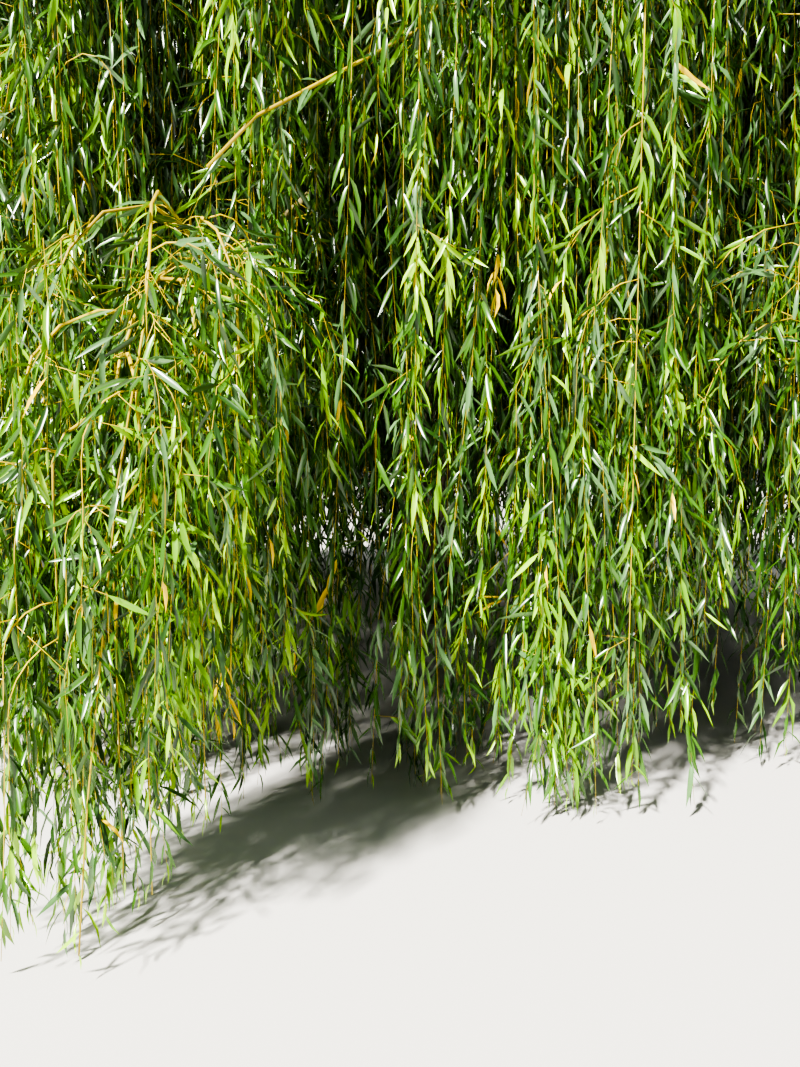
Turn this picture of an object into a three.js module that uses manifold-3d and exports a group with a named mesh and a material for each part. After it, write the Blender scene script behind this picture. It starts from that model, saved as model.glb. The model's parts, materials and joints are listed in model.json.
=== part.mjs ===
// A weeping willow, a whole tree on the flat cut that its trunk makes with level ground.
// Millimetres and degrees, +Z up. The origin is the middle of the cut, and the tree's front faces -Y.

import * as THREE from "three";
import { mergeVertices } from "three/addons/utils/BufferGeometryUtils.js";
import loadSolids from "manifold-3d";

// Crown as a whole: a dome on a hanging skirt, a little lobed, nearest to the trunk in front
const HEIGHT = 9500;
const CROWN_RADIUS = 5120;
const CROWN_WIDEST_AT = 4200;
const HEM_RADIUS = 5020;
const CROWN_LOBES = 3;
const CROWN_LOBE_DEPTH = 0.025;
const FRONT_AZIMUTH = -90.6;
const SPACE_GAP = 90;
const SEAT_GAP = 0.3;

// Trunk
const TRUNK = { top: 3200, leanX: 170, leanY: 60, bowX: -130, bowY: 40, sides: 18, rings: 7 };
const TRUNK_FOOT_RADIUS = 330;
const TRUNK_TOP_RADIUS = 190;
const FLARE = { radius: 190, height: 330, lobes: 5, lobeDepth: 0.34, turn: 0.6 };

// Main boughs, each of which forks into the boughs of two curtains
const MAIN_BOUGHS = 6;
const MAIN = { start: 2080, startStep: 480, base: 128, tip: 84, leave: 42, arrive: 60 };
const FORK = { radius: 1620, height: 4420, spread: 48, lift: 38, at: 0.84, base: 66 };
const CURTAIN_START = { radius: 3120, height: 5480, lift: 12, thickness: 24 };

// Curtains of hanging shoots round the tree, closest together in front
const CURTAINS = 2 * MAIN_BOUGHS;
const FRONT_CROWDING = 8.1;
const CURTAIN_INNER_RADIUS = 3060;
const CURTAIN_ROOF = 6450;
const CURTAIN_ROOF_FALL = 0.95;
const HOLLOW_RADIUS = 4150;
const HOLLOW_RISE = 2.3;
const LOWEST_HEM = 60;
const HEM_RANGE = 330;
const EDGE_RISE = 620;

// Leader, which carries the top of the crown, and the boughs of its shoulders
const LEADER = { top: 6980, tip: 30, x: 90, y: -60 };
const SHOULDERS = 6;
const SHOULDER_START = { radius: 2030, height: 7050, lift: 36, base: 62, tip: 22, leave: 48 };
const SHOULDER_INNER_RADIUS = 1900;
const SHOULDER_FLOOR = 5920;
const TOP_FLOOR = 6850;
const TOP_RIM = 9100;
const TOP_RIM_FALL = 0.5;

// Inner masses, which hang under the crown between the main boughs
const INNER_START = { radius: 1900, height: 4950, lift: 5, base: 50, tip: 20, leave: 46 };
const INNER = { half: 28, inner: 1000, outer: 2960, floor: 2450, roof: 5780 };

// Front spray, which stands out of the front curtain on an arching bough of its own
const SPRAY_AZIMUTH = -102;
const SPRAY_START = { radius: 5170, height: 2330, lift: -12, base: 40, tip: 15 };
const SPRAY = { halfWidth: 400, inner: 5230, outer: 6060, roof: 2700 };

// How each kind of mass grows: its stem's bend, and the ribs that leave the stem
const CURTAIN_RULE = { bend: 2500, ribs: 5, from: 0.15, to: 0.86, turn: [70, 60], lift: 22, ribBend: 1500 };
const SHOULDER_RULE = { bend: 3100, ribs: 5, from: 0.05, to: 0.8, turn: [85, 55], lift: 32, ribBend: 2600 };
const TOP_RULE = { bend: 3900, ribs: 9, from: 0.1, to: 0.55, spiral: 137.5, lift: 42, ribBend: 3300 };
const INNER_RULE = { bend: 900, ribs: 2, from: 0.2, to: 0.6, turn: [70, 60], lift: 10, ribBend: 1000 };
const SPRAY_RULE = { bend: 1100, ribs: 4, from: 0.3, to: 0.85, turn: [60, 45], lift: 10, ribBend: 520 };
const TOP_UPRIGHT = 1250;

// Shoots: three-sided, bent over by their own weight
const BEND_STEPS = 3;
const SHORTEST_BEND = 300;
const SHOOT_SIDES = 3;
const SHOOT_BASE = 11;
const SHOOT_TIP = 6;
const STEM_TIP = 9;
const SHOOT_CLEAR = 140;
const LIMB_MARGIN = 45;
const SPOT_SPACING = 50;
const RIB_ATTEMPTS = 30;

// Leaves, each of which stands for a spray of real ones
const LEAF = { length: 1300, width: 300, thickness: 22, widest: 0.4, sunk: 10, splay: 26, droop: 35 };
const LEAF_SPACING = 1270;
const LEAF_ATTEMPTS = 16;
const BARE_START = 260;
const OWN_CLEAR_FROM = 300;
const LEAF_CLEAR_FROM = 110;
const EDGE_CLEAR = 25;

const { degToRad, radToDeg, lerp } = THREE.MathUtils;
const UP = new THREE.Vector3(0, 0, 1);
const EAST = new THREE.Vector3(1, 0, 0);
const wasm = await loadSolids();
wasm.setup();

const paint = (color, roughness) => new THREE.MeshStandardMaterial({ color, roughness, metalness: 0 });
const trunkBark = paint(0x6b5a45, 0.95);
const boughBark = paint(0x7c7247, 0.85);
const curtainGreen = paint(0x5f8a2e, 0.6);
const crownGreen = paint(0x6d9838, 0.6);
const innerGreen = paint(0x3d5c22, 0.7);

// The same row of numbers between 0 and 1 for the same seed
function seeded(seed) {
  let state = (seed * 69621) % 2147483647;
  return () => {
    state = (state * 16807) % 2147483647;
    return state / 2147483647;
  };
}

function direction(azimuth, lift) {
  const level = Math.cos(degToRad(lift));
  const turn = degToRad(azimuth);
  return new THREE.Vector3(level * Math.cos(turn), level * Math.sin(turn), Math.sin(degToRad(lift)));
}

const polar = (azimuth, radius, height) => direction(azimuth, 0).multiplyScalar(radius).setZ(height);
const azimuthOf = (point) => radToDeg(Math.atan2(point.y, point.x));
const radiusOf = (point) => Math.hypot(point.x, point.y);

// Solids

// Only the places of a shape's points, each shared by the faces that meet there
function bare(shape) {
  shape.deleteAttribute("normal");
  shape.deleteAttribute("uv");
  return mergeVertices(shape);
}

function placed(shape, place) {
  const spots = shape.attributes.position;
  for (let i = 0; i < spots.count; i++) {
    const point = place(spots.getX(i), spots.getY(i), spots.getZ(i));
    spots.setXYZ(i, point.x, point.y, point.z);
  }
  return shape;
}

// A tapering piece along a route, which has a point and a tangent for each ring
function taperedAlong({ points, tangents }, base, tip, sides) {
  const rings = points.length - 1;
  let side = new THREE.Vector3().crossVectors(tangents[0], Math.abs(tangents[0].z) < 0.9 ? UP : EAST);
  const frames = tangents.map((tangent) => {
    side = side.clone().addScaledVector(tangent, -side.dot(tangent)).normalize();
    return [side, new THREE.Vector3().crossVectors(side, tangent)];
  });
  return placed(bare(new THREE.CylinderGeometry(1, 1, 1, sides, rings)), (x, y, z) => {
    const ring = Math.round((y + 0.5) * rings);
    const radius = lerp(base, tip, y + 0.5);
    const [first, second] = frames[ring];
    return points[ring].clone().addScaledVector(first, x * radius).addScaledVector(second, z * radius);
  });
}

function solidOf(shape) {
  const vertProperties = new Float32Array(shape.attributes.position.array);
  const triVerts = new Uint32Array(shape.index.array);
  return new wasm.Manifold(new wasm.Mesh({ numProp: 3, vertProperties, triVerts }));
}

// The largest closed piece, without loose scraps and with its sealed hollows filled
function wholePiece(solid) {
  const pieces = solid.decompose().filter((piece) => piece.volume() > 0);
  return pieces.reduce((largest, piece) => (piece.volume() > largest.volume() ? piece : largest));
}

const willow = new THREE.Group();

function addNode(name, solid, material) {
  const { vertProperties, triVerts } = wholePiece(solid).getMesh();
  const shape = new THREE.BufferGeometry();
  shape.setAttribute("position", new THREE.BufferAttribute(vertProperties, 3));
  shape.setIndex(new THREE.BufferAttribute(triVerts, 1));
  shape.computeVertexNormals();
  const mesh = new THREE.Mesh(shape, material);
  mesh.name = name;
  willow.add(mesh);
}

// Trunk: level rings round a leaning, slightly bowed axis, with root lobes that die away above the ground
function trunkAxis(height) {
  const along = height / TRUNK.top;
  const bow = 4 * along * (1 - along);
  const x = TRUNK.leanX * along + TRUNK.bowX * bow;
  const y = TRUNK.leanY * along + TRUNK.bowY * bow;
  return new THREE.Vector3(x, y, height);
}

function trunkRadius(height, turn) {
  const lobe = 1 + FLARE.lobeDepth * Math.cos(FLARE.lobes * turn + FLARE.turn);
  const taper = lerp(TRUNK_FOOT_RADIUS, TRUNK_TOP_RADIUS, (height / TRUNK.top) ** 1.3);
  return taper + FLARE.radius * lobe * Math.exp(-height / FLARE.height);
}

function trunkSolid(grow) {
  const unit = bare(new THREE.CylinderGeometry(1, 1, 1, TRUNK.sides, TRUNK.rings));
  const shape = placed(unit, (x, y, z) => {
    const height = TRUNK.top * (y + 0.5) ** 1.6;
    const turn = Math.atan2(-z, x);
    const radius = Math.hypot(x, z) * (trunkRadius(height, turn) + grow);
    return trunkAxis(height).addScaledVector(direction(radToDeg(turn), 0), radius);
  });
  return solidOf(shape);
}

addNode("trunk", trunkSolid(0), trunkBark);

// Limbs: each is one taper that leaves in one direction and arrives in another.
// A limb that starts inside others is cut clear of them, so that it sits on them.
const limbs = new Map();

function addLimb(name, { from, leave, to, arrive, base, tip, sides = 6, rings = 5, on = [] }, material) {
  const handle = from.distanceTo(to) / 3;
  const first = from.clone().addScaledVector(leave, handle);
  const second = to.clone().addScaledVector(arrive, -handle);
  const curve = new THREE.CubicBezierCurve3(from, first, second, to);
  const parts = Array.from({ length: rings + 1 }, (_, ring) => ring / rings);
  const points = parts.map((part) => curve.getPointAt(part));
  const tangents = parts.map((part) => curve.getTangentAt(part));
  const grown = (grow) => solidOf(taperedAlong({ points, tangents }, base + grow, tip + grow, sides));
  const solid = on.reduce((rest, other) => rest.subtract(other), grown(0));
  const limb = { curve, base, tip, seat: grown(SEAT_GAP) };
  limbs.set(name, limb);
  addNode(name, solid, material);
  return limb;
}

const trunkSeat = trunkSolid(SEAT_GAP);
const seatsOf = (names) => names.map((name) => limbs.get(name).seat);

// The azimuth of a curtain, counted round the tree from the front one
function curtainAzimuth(turn) {
  const even = (360 / CURTAINS) * turn;
  return FRONT_AZIMUTH + even - FRONT_CROWDING * Math.sin(degToRad(even));
}

const curtainBoughs = [];

function addMainBough(index) {
  const random = seeded(101 + 37 * index);
  const name = `bough_${index + 1}`;
  const azimuth = (curtainAzimuth(2 * index) + curtainAzimuth(2 * index + 1)) / 2;
  const rising = direction(azimuth, MAIN.arrive);
  const start = trunkAxis(MAIN.start + MAIN.startStep * (index % 2) + 160 * random());
  const fork = polar(azimuth, FORK.radius + 150 * random(), FORK.height + 260 * random());
  const lower = { from: start, leave: direction(azimuth, MAIN.leave), to: fork, arrive: rising };
  Object.assign(lower, { base: MAIN.base, tip: MAIN.tip, sides: 8, on: [trunkSeat] });
  const main = addLimb(`${name}_lower`, lower, trunkBark);

  const outer = [0, 1].map((side) => curtainAzimuth(2 * index + side));
  const tips = outer.map((to) => polar(to, CURTAIN_START.radius, CURTAIN_START.height + 120 * random()));
  const arrivals = outer.map((to) => direction(to, CURTAIN_START.lift));
  const right = { from: fork.clone().addScaledVector(rising, SEAT_GAP), leave: rising, base: MAIN.tip };
  Object.assign(right, { to: tips[0], arrive: arrivals[0], tip: CURTAIN_START.thickness });
  curtainBoughs.push(addLimb(`${name}_right`, right, boughBark));
  const left = { from: main.curve.getPointAt(FORK.at), leave: direction(azimuth + FORK.spread, FORK.lift) };
  Object.assign(left, { to: tips[1], arrive: arrivals[1], base: FORK.base, tip: CURTAIN_START.thickness });
  left.on = seatsOf([`${name}_lower`, `${name}_right`]);
  curtainBoughs.push(addLimb(`${name}_left`, left, boughBark));
}

for (let index = 0; index < MAIN_BOUGHS; index++) addMainBough(index);

const leaderRoute = { from: trunkAxis(TRUNK.top + SEAT_GAP), leave: UP, arrive: direction(-40, 84) };
leaderRoute.to = new THREE.Vector3(LEADER.x, LEADER.y, LEADER.top);
const leader = addLimb(
  "leader",
  { ...leaderRoute, base: TRUNK_TOP_RADIUS, tip: LEADER.tip, sides: 10, rings: 6 },
  trunkBark,
);

// A bough of the shoulders or of an inner mass, which leaves the leader at a part of its length
function addLeaderBough(name, azimuth, part, at, height, on) {
  const route = { from: leader.curve.getPointAt(part), leave: direction(azimuth, at.leave) };
  Object.assign(route, { to: polar(azimuth, at.radius, height), arrive: direction(azimuth, at.lift) });
  return addLimb(name, { ...route, base: at.base, tip: at.tip, rings: 4, on }, boughBark);
}

const goldenPart = (index) => (index * 0.618) % 1;
const shoulders = [];
for (let index = 0; index < SHOULDERS; index++) {
  const random = seeded(977 + 61 * index);
  const azimuth = FRONT_AZIMUTH + 12 + (360 / SHOULDERS) * index + 12 * (random() - 0.5);
  const height = SHOULDER_START.height + 200 * (random() - 0.5);
  const on = [trunkSeat, ...seatsOf([...limbs.keys()])];
  const name = `shoulder_bough_${index + 1}`;
  const part = 0.22 + 0.34 * goldenPart(index);
  shoulders.push({ azimuth, bough: addLeaderBough(name, azimuth, part, SHOULDER_START, height, on) });
}

const innerMasses = [];
for (let index = 0; index < MAIN_BOUGHS; index++) {
  const random = seeded(431 + 53 * index);
  const azimuth = (curtainAzimuth(2 * index - 1) + curtainAzimuth(2 * index)) / 2;
  const height = INNER_START.height + 240 * (random() - 0.5);
  const on = [trunkSeat, ...seatsOf([...limbs.keys()])];
  const name = `inner_bough_${index + 1}`;
  const part = 0.03 + 0.12 * goldenPart(index);
  innerMasses.push({ azimuth, bough: addLeaderBough(name, azimuth, part, INNER_START, height, on) });
}

const frontRoute = { from: limbs.get("bough_1_lower").curve.getPointAt(0.9), leave: direction(-92, 38) };
frontRoute.to = polar(SPRAY_AZIMUTH, SPRAY_START.radius, SPRAY_START.height);
frontRoute.arrive = direction(SPRAY_AZIMUTH, SPRAY_START.lift);
frontRoute.on = seatsOf(["bough_1_lower", "bough_1_right", "bough_1_left"]);
const frontBough = addLimb(
  "front_bough",
  { ...frontRoute, base: SPRAY_START.base, tip: SPRAY_START.tip, rings: 8 },
  boughBark,
);

const limbSpots = [];
for (const { curve, base, tip } of limbs.values()) {
  const steps = Math.ceil(curve.getLength() / SPOT_SPACING);
  for (let step = 0; step <= steps; step++) {
    limbSpots.push({ point: curve.getPointAt(step / steps), radius: lerp(base, tip, step / steps) });
  }
}

// Whether a line of points stays clear of every limb by a margin
function clearOfLimbs(points, margin) {
  return points.every((start, index) => {
    const end = points[index + 1] ?? start;
    const steps = Math.ceil(start.distanceTo(end) / SPOT_SPACING) || 1;
    for (let step = 0; step <= steps; step++) {
      const point = start.clone().lerp(end, step / steps);
      const touches = (spot) => spot.point.distanceToSquared(point) < (spot.radius + margin) ** 2;
      if (limbSpots.some(touches)) return false;
    }
    return true;
  });
}

// Spaces: each mass keeps to its own, between two upright planes through the middle of the trunk's foot
function crownRadius(height, azimuth) {
  const lobes = 1 - CROWN_LOBE_DEPTH * Math.cos(degToRad(CROWN_LOBES * (azimuth - FRONT_AZIMUTH)));
  if (height < CROWN_WIDEST_AT) return lobes * lerp(HEM_RADIUS, CROWN_RADIUS, height / CROWN_WIDEST_AT);
  const up = (height - CROWN_WIDEST_AT) / (HEIGHT - CROWN_WIDEST_AT);
  return lobes * CROWN_RADIUS * Math.sqrt(Math.max(0, 1 - up * up));
}

function curtainRoof(radius) {
  return CURTAIN_ROOF - CURTAIN_ROOF_FALL * (radius - CURTAIN_INNER_RADIUS);
}

function topFloor(radius) {
  return radius < SHOULDER_INNER_RADIUS - SPACE_GAP ? TOP_FLOOR : TOP_RIM - TOP_RIM_FALL * radius;
}

// How far a point lies inside the two planes of a sector
function insideSector(point, azimuth, half) {
  const turn = Math.abs(((azimuthOf(point) - azimuth + 900) % 360) - 180);
  return turn > 90 ? -Infinity : radiusOf(point) * Math.sin(degToRad(half - turn));
}

function sectorSpace({ azimuth, half, inner = 0, outer = Infinity, floor, roof }) {
  const holds = (point) => {
    const radius = radiusOf(point);
    if (half && insideSector(point, azimuth, half) < SPACE_GAP / 2) return false;
    if (radius < inner || radius > Math.min(outer, crownRadius(point.z, azimuthOf(point)))) return false;
    return point.z > floor(radius, point) && point.z < roof(radius);
  };
  return { holds, low: (point) => floor(radiusOf(point), point) };
}

function curtainSpace(turn) {
  const azimuth = curtainAzimuth(turn);
  const half = Math.min(curtainAzimuth(turn + 1) - azimuth, azimuth - curtainAzimuth(turn - 1)) / 2;
  const hem = LOWEST_HEM + HEM_RANGE * seeded(59 + 7 * turn)();
  const floor = (radius, point) => {
    const edge = 1 - Math.max(0, insideSector(point, azimuth, half)) / (radius * Math.sin(degToRad(half)));
    return hem + EDGE_RISE * edge ** 3 + HOLLOW_RISE * Math.max(0, HOLLOW_RADIUS - radius);
  };
  return sectorSpace({ azimuth, half, inner: CURTAIN_INNER_RADIUS, floor, roof: curtainRoof });
}

function shoulderSpace(turn) {
  const { azimuth } = shoulders[turn];
  const gapTo = (other) => Math.abs(((shoulders[other].azimuth - azimuth + 900) % 360) - 180);
  const half = Math.min(gapTo((turn + 1) % SHOULDERS), gapTo((turn + SHOULDERS - 1) % SHOULDERS)) / 2;
  const overCurtains = (radius) => radius > CURTAIN_INNER_RADIUS - SPACE_GAP;
  const floor = (radius) => (overCurtains(radius) ? curtainRoof(radius) + SPACE_GAP : SHOULDER_FLOOR);
  const roof = (radius) => topFloor(radius) - SPACE_GAP;
  return sectorSpace({ azimuth, half, inner: SHOULDER_INNER_RADIUS, floor, roof });
}

const topSpace = sectorSpace({ floor: topFloor, roof: () => HEIGHT });

function innerSpace(azimuth) {
  return sectorSpace({ azimuth, ...INNER, floor: () => INNER.floor, roof: () => INNER.roof });
}

const spraySpace = {
  holds(point) {
    const reach = point.dot(direction(SPRAY_AZIMUTH, 0));
    const aside = Math.abs(point.dot(direction(SPRAY_AZIMUTH + 90, 0)));
    const level = point.z > LOWEST_HEM && point.z < SPRAY.roof;
    return level && aside < SPRAY.halfWidth && reach > SPRAY.inner && reach < SPRAY.outer;
  },
  low: () => LOWEST_HEM,
};

// Shoots: each leaves its start at a lift, bends over along its bend length until it hangs, and hangs to its
// end. A shoot that would leave its space isn't grown.
function weep(space, start, { azimuth, lift, bend, end, upright = 0 }) {
  const point = start.clone();
  const points = [start.clone()];
  const tangents = [direction(azimuth, lift)];
  const grow = (stride, slope, tangent) => {
    point.addScaledVector(direction(azimuth, slope), stride);
    points.push(point.clone());
    tangents.push(direction(azimuth, tangent));
  };
  if (upright) grow(upright, lift, lift);
  const turned = (lift + 90) / BEND_STEPS;
  for (let step = 0; step < BEND_STEPS; step++) {
    grow(bend / BEND_STEPS, lift - turned * (step + 0.5), lift - turned * (step + 1));
    if (!space.holds(point)) return null;
  }
  const hanging = point.z - Math.max(space.low(point), end);
  if (hanging > SHORTEST_BEND) grow(hanging, -90, -90);
  return { points, tangents, arch: upright + bend };
}

function lengthOf({ points }) {
  return points.reduce((sum, point, index) => sum + (index ? point.distanceTo(points[index - 1]) : 0), 0);
}

// The point and direction of a route at a distance from its start
function spotAt({ points }, distance) {
  let left = distance;
  let index = 1;
  while (index < points.length - 1 && left > points[index].distanceTo(points[index - 1])) {
    left -= points[index].distanceTo(points[index - 1]);
    index += 1;
  }
  const tangent = points[index].clone().sub(points[index - 1]).normalize();
  return { point: points[index - 1].clone().addScaledVector(tangent, left), tangent };
}

function spotsAlong(route) {
  const count = Math.floor(lengthOf(route) / SPOT_SPACING);
  return Array.from({ length: count }, (_, step) => spotAt(route, step * SPOT_SPACING).point);
}

function growRib(space, stem, rule, heading, start, shoots, random) {
  for (let attempt = 0; attempt < RIB_ATTEMPTS; attempt++) {
    const azimuth = heading + (30 + 3 * attempt) * (random() - 0.5);
    const lift = rule.lift + 16 * (random() - 0.5);
    const bend = rule.ribBend * (1.1 - 0.6 * random()) * (1 - 0.012 * attempt);
    const end = space.low(start) + rule.lowest + rule.ragged * random();
    const route = weep(space, start, { azimuth, lift, bend, end });
    if (!route || !clearOfLimbs(route.points.slice(1), LIMB_MARGIN)) continue;
    const spots = spotsAlong(route);
    const hanging = spots.filter((spot) => spot.z < start.z - 500);
    const near = (spot) => (seen) => seen.distanceTo(spot) < SHOOT_CLEAR;
    const crowded = (spot) => shoots.some((other) => other.spots.some(near(spot)));
    if (!hanging.some(crowded)) return { route, spots, base: SHOOT_BASE, tip: SHOOT_TIP };
  }
  return null;
}

// The stem goes on from its bough's tip, and the ribs leave it to both sides, or all round it
function growShoots(space, bough, rule, random) {
  const aim = bough.curve.getTangentAt(1);
  const start = bough.curve.getPointAt(1).addScaledVector(aim, SEAT_GAP);
  const azimuth = azimuthOf(aim);
  const lift = radToDeg(Math.asin(aim.z));
  let stem = null;
  const end = space.low(start) + rule.lowest;
  for (let bend = rule.bend; !stem && bend > SHORTEST_BEND; bend *= 0.93) {
    stem = weep(space, start, { azimuth, lift, bend, end, upright: rule.upright });
  }
  const shoots = [{ route: stem, spots: spotsAlong(stem), base: bough.tip, tip: STEM_TIP }];
  for (let rib = 0; rib < rule.ribs; rib++) {
    const part = rib / (rule.ribs - 1);
    const side = rule.spiral ? rule.spiral * rib : (rib % 2 ? -1 : 1) * lerp(...rule.turn, part);
    const from = spotAt(stem, stem.arch * lerp(rule.from, rule.to, part)).point;
    const shoot = growRib(space, stem, rule, azimuth + side, from, shoots, random);
    if (shoot) shoots.push(shoot);
  }
  return shoots;
}

// A leaf's own frame: along it, across its width, and out of its flat side
function leafFrame(point, tangent, turn, size, splay) {
  const level = Math.hypot(tangent.x, tangent.y);
  const away = direction(azimuthOf(point) + turn, -LEAF.droop * level);
  away.addScaledVector(tangent, -away.dot(tangent)).normalize();
  const along = tangent.clone().multiplyScalar(Math.cos(degToRad(splay)));
  along.addScaledVector(away, Math.sin(degToRad(splay)));
  const flat = new THREE.Vector3().crossVectors(tangent, away).normalize();
  const across = new THREE.Vector3().crossVectors(along, flat);
  const root = point.clone().addScaledVector(along, -LEAF.sunk);
  return { root, along, across, flat, length: LEAF.length * size, width: LEAF.width * size };
}

function leafPoint(leaf, reach, aside, out = 0) {
  const point = leaf.root.clone().addScaledVector(leaf.along, reach);
  return point.addScaledVector(leaf.across, aside).addScaledVector(leaf.flat, out);
}

function leafShape(leaf) {
  return placed(bare(new THREE.OctahedronGeometry(1)), (x, y, z) => {
    const reach = leaf.length * (y > 0.5 ? 1 : y < -0.5 ? 0 : LEAF.widest);
    return leafPoint(leaf, reach, (x * leaf.width) / 2, (z * LEAF.thickness) / 2);
  });
}

function halfWidthAt(leaf, reach) {
  const part = THREE.MathUtils.clamp(reach / leaf.length, 0, 1);
  const share = part < LEAF.widest ? part / LEAF.widest : (1 - part) / (1 - LEAF.widest);
  return (leaf.width / 2) * share;
}

function leafSpots(leaf) {
  const parts = [0.15, 0.32, 0.49, 0.66, 0.83, 1];
  return parts.flatMap((part) => {
    const reach = part * leaf.length;
    return [-1, 0, 1].map((side) => leafPoint(leaf, reach, side * halfWidthAt(leaf, reach)));
  });
}

// Whether a spot comes too near a leaf's flat side, past the stretch where the leaf leaves its shoot
function leafMeets(leaf, spot, thickness, from) {
  const offset = spot.clone().sub(leaf.root);
  const reach = offset.dot(leaf.along);
  if (reach < from || reach > leaf.length + EDGE_CLEAR) return false;
  if (Math.abs(offset.dot(leaf.flat)) > thickness) return false;
  return Math.abs(offset.dot(leaf.across)) < halfWidthAt(leaf, reach) + EDGE_CLEAR;
}

function leafFits(leaf, shoot, space, shoots, leaves) {
  const spots = leafSpots(leaf);
  if (![leaf.root, ...spots].every(space.holds)) return false;
  if (!clearOfLimbs([leaf.root, leafPoint(leaf, leaf.length, 0)], leaf.width / 2 + LIMB_MARGIN)) return false;
  const clearFrom = (other) => (other === shoot ? shoot.clearFrom : LEAF_CLEAR_FROM);
  const crosses = (other) => other.spots.some((spot) => leafMeets(leaf, spot, 30, clearFrom(other)));
  if (shoots.some(crosses)) return false;
  const nearEither = (other) =>
    leafSpots(other).some((spot) => leafMeets(leaf, spot, 60, LEAF_CLEAR_FROM)) ||
    spots.some((spot) => leafMeets(other, spot, 60, LEAF_CLEAR_FROM));
  return !leaves.some(nearEither);
}

// Leaves hang from a shoot's tip and, to alternate sides, all the way up it
function growLeaves(space, shoots, rule, random) {
  const leaves = [];
  for (const shoot of shoots) {
    const length = lengthOf(shoot.route);
    let at = length - 4 * LEAF.sunk;
    for (let count = 0; at > BARE_START; count++) {
      const { point, tangent } = spotAt(shoot.route, at);
      const splay = count ? LEAF.splay : 2;
      shoot.clearFrom = count ? OWN_CLEAR_FROM : Infinity;
      for (let attempt = 0; attempt < LEAF_ATTEMPTS; attempt++) {
        const side = 90 + 180 * ((count + (attempt % 3 === 2)) % 2);
        const turn = side + (60 + 20 * attempt) * (random() - 0.5);
        const size = rule.leaf * (1.12 - 0.15 * random() - 0.02 * attempt);
        const leaf = leafFrame(point, tangent, turn, size, splay);
        if (!leafFits(leaf, shoot, space, shoots, leaves)) continue;
        leaves.push(leaf);
        break;
      }
      at -= LEAF_SPACING * rule.leaf * (count ? 1 : 0.6);
    }
  }
  return leaves;
}

function addMass(name, space, bough, rule, seed, material) {
  const random = seeded(seed);
  const full = { leaf: 1, ragged: 200, ...rule };
  full.lowest = 0.92 * LEAF.length * full.leaf;
  const shoots = growShoots(space, bough, full, random);
  const leaves = growLeaves(space, shoots, full, random);
  const twigs = shoots.map(({ route, base, tip }) => solidOf(taperedAlong(route, base, tip, SHOOT_SIDES)));
  const blades = leaves.map((leaf) => solidOf(leafShape(leaf)));
  addNode(name, wasm.Manifold.union([...twigs, ...blades]), material);
}

curtainBoughs.forEach((bough, turn) => {
  const rule = { ...CURTAIN_RULE, ragged: 420, leaf: 1.05 };
  addMass(`curtain_${turn + 1}`, curtainSpace(turn), bough, rule, 1201 + 31 * turn, curtainGreen);
});
shoulders.forEach(({ bough }, turn) => {
  const rule = { ...SHOULDER_RULE, leaf: 0.75 };
  addMass(`shoulder_${turn + 1}`, shoulderSpace(turn), bough, rule, 2203 + 29 * turn, crownGreen);
});
innerMasses.forEach(({ azimuth, bough }, turn) => {
  const rule = { ...INNER_RULE, ragged: 500 };
  addMass(`inner_mass_${turn + 1}`, innerSpace(azimuth), bough, rule, 4409 + 23 * turn, innerGreen);
});
addMass("crown_top", topSpace, leader, { ...TOP_RULE, upright: TOP_UPRIGHT, leaf: 0.75 }, 3307, crownGreen);
addMass("front_spray", spraySpace, frontBough, { ...SPRAY_RULE, ragged: 500, leaf: 0.5 }, 5501, curtainGreen);

export default willow;
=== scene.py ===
import json
import math

import bpy
import numpy as np
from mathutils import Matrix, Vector, noise
from mathutils.kdtree import KDTree

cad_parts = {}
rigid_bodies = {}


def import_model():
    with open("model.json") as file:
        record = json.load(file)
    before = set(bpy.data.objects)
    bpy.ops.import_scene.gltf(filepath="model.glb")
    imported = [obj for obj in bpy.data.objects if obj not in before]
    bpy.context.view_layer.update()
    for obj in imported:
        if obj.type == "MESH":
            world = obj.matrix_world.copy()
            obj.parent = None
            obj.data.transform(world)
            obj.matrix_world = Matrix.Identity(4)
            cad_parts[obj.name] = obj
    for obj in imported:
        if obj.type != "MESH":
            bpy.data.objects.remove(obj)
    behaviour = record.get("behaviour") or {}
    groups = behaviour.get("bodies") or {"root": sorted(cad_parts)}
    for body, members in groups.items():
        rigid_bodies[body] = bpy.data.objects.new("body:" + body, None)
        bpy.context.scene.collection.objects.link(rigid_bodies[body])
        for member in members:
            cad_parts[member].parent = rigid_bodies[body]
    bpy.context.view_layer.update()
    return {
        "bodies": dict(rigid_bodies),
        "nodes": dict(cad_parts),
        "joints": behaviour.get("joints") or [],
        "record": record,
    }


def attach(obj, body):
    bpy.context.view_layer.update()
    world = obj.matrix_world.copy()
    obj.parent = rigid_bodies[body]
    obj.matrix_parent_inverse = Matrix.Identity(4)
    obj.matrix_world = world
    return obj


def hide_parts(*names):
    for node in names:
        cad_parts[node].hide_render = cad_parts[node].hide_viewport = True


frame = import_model()


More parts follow.
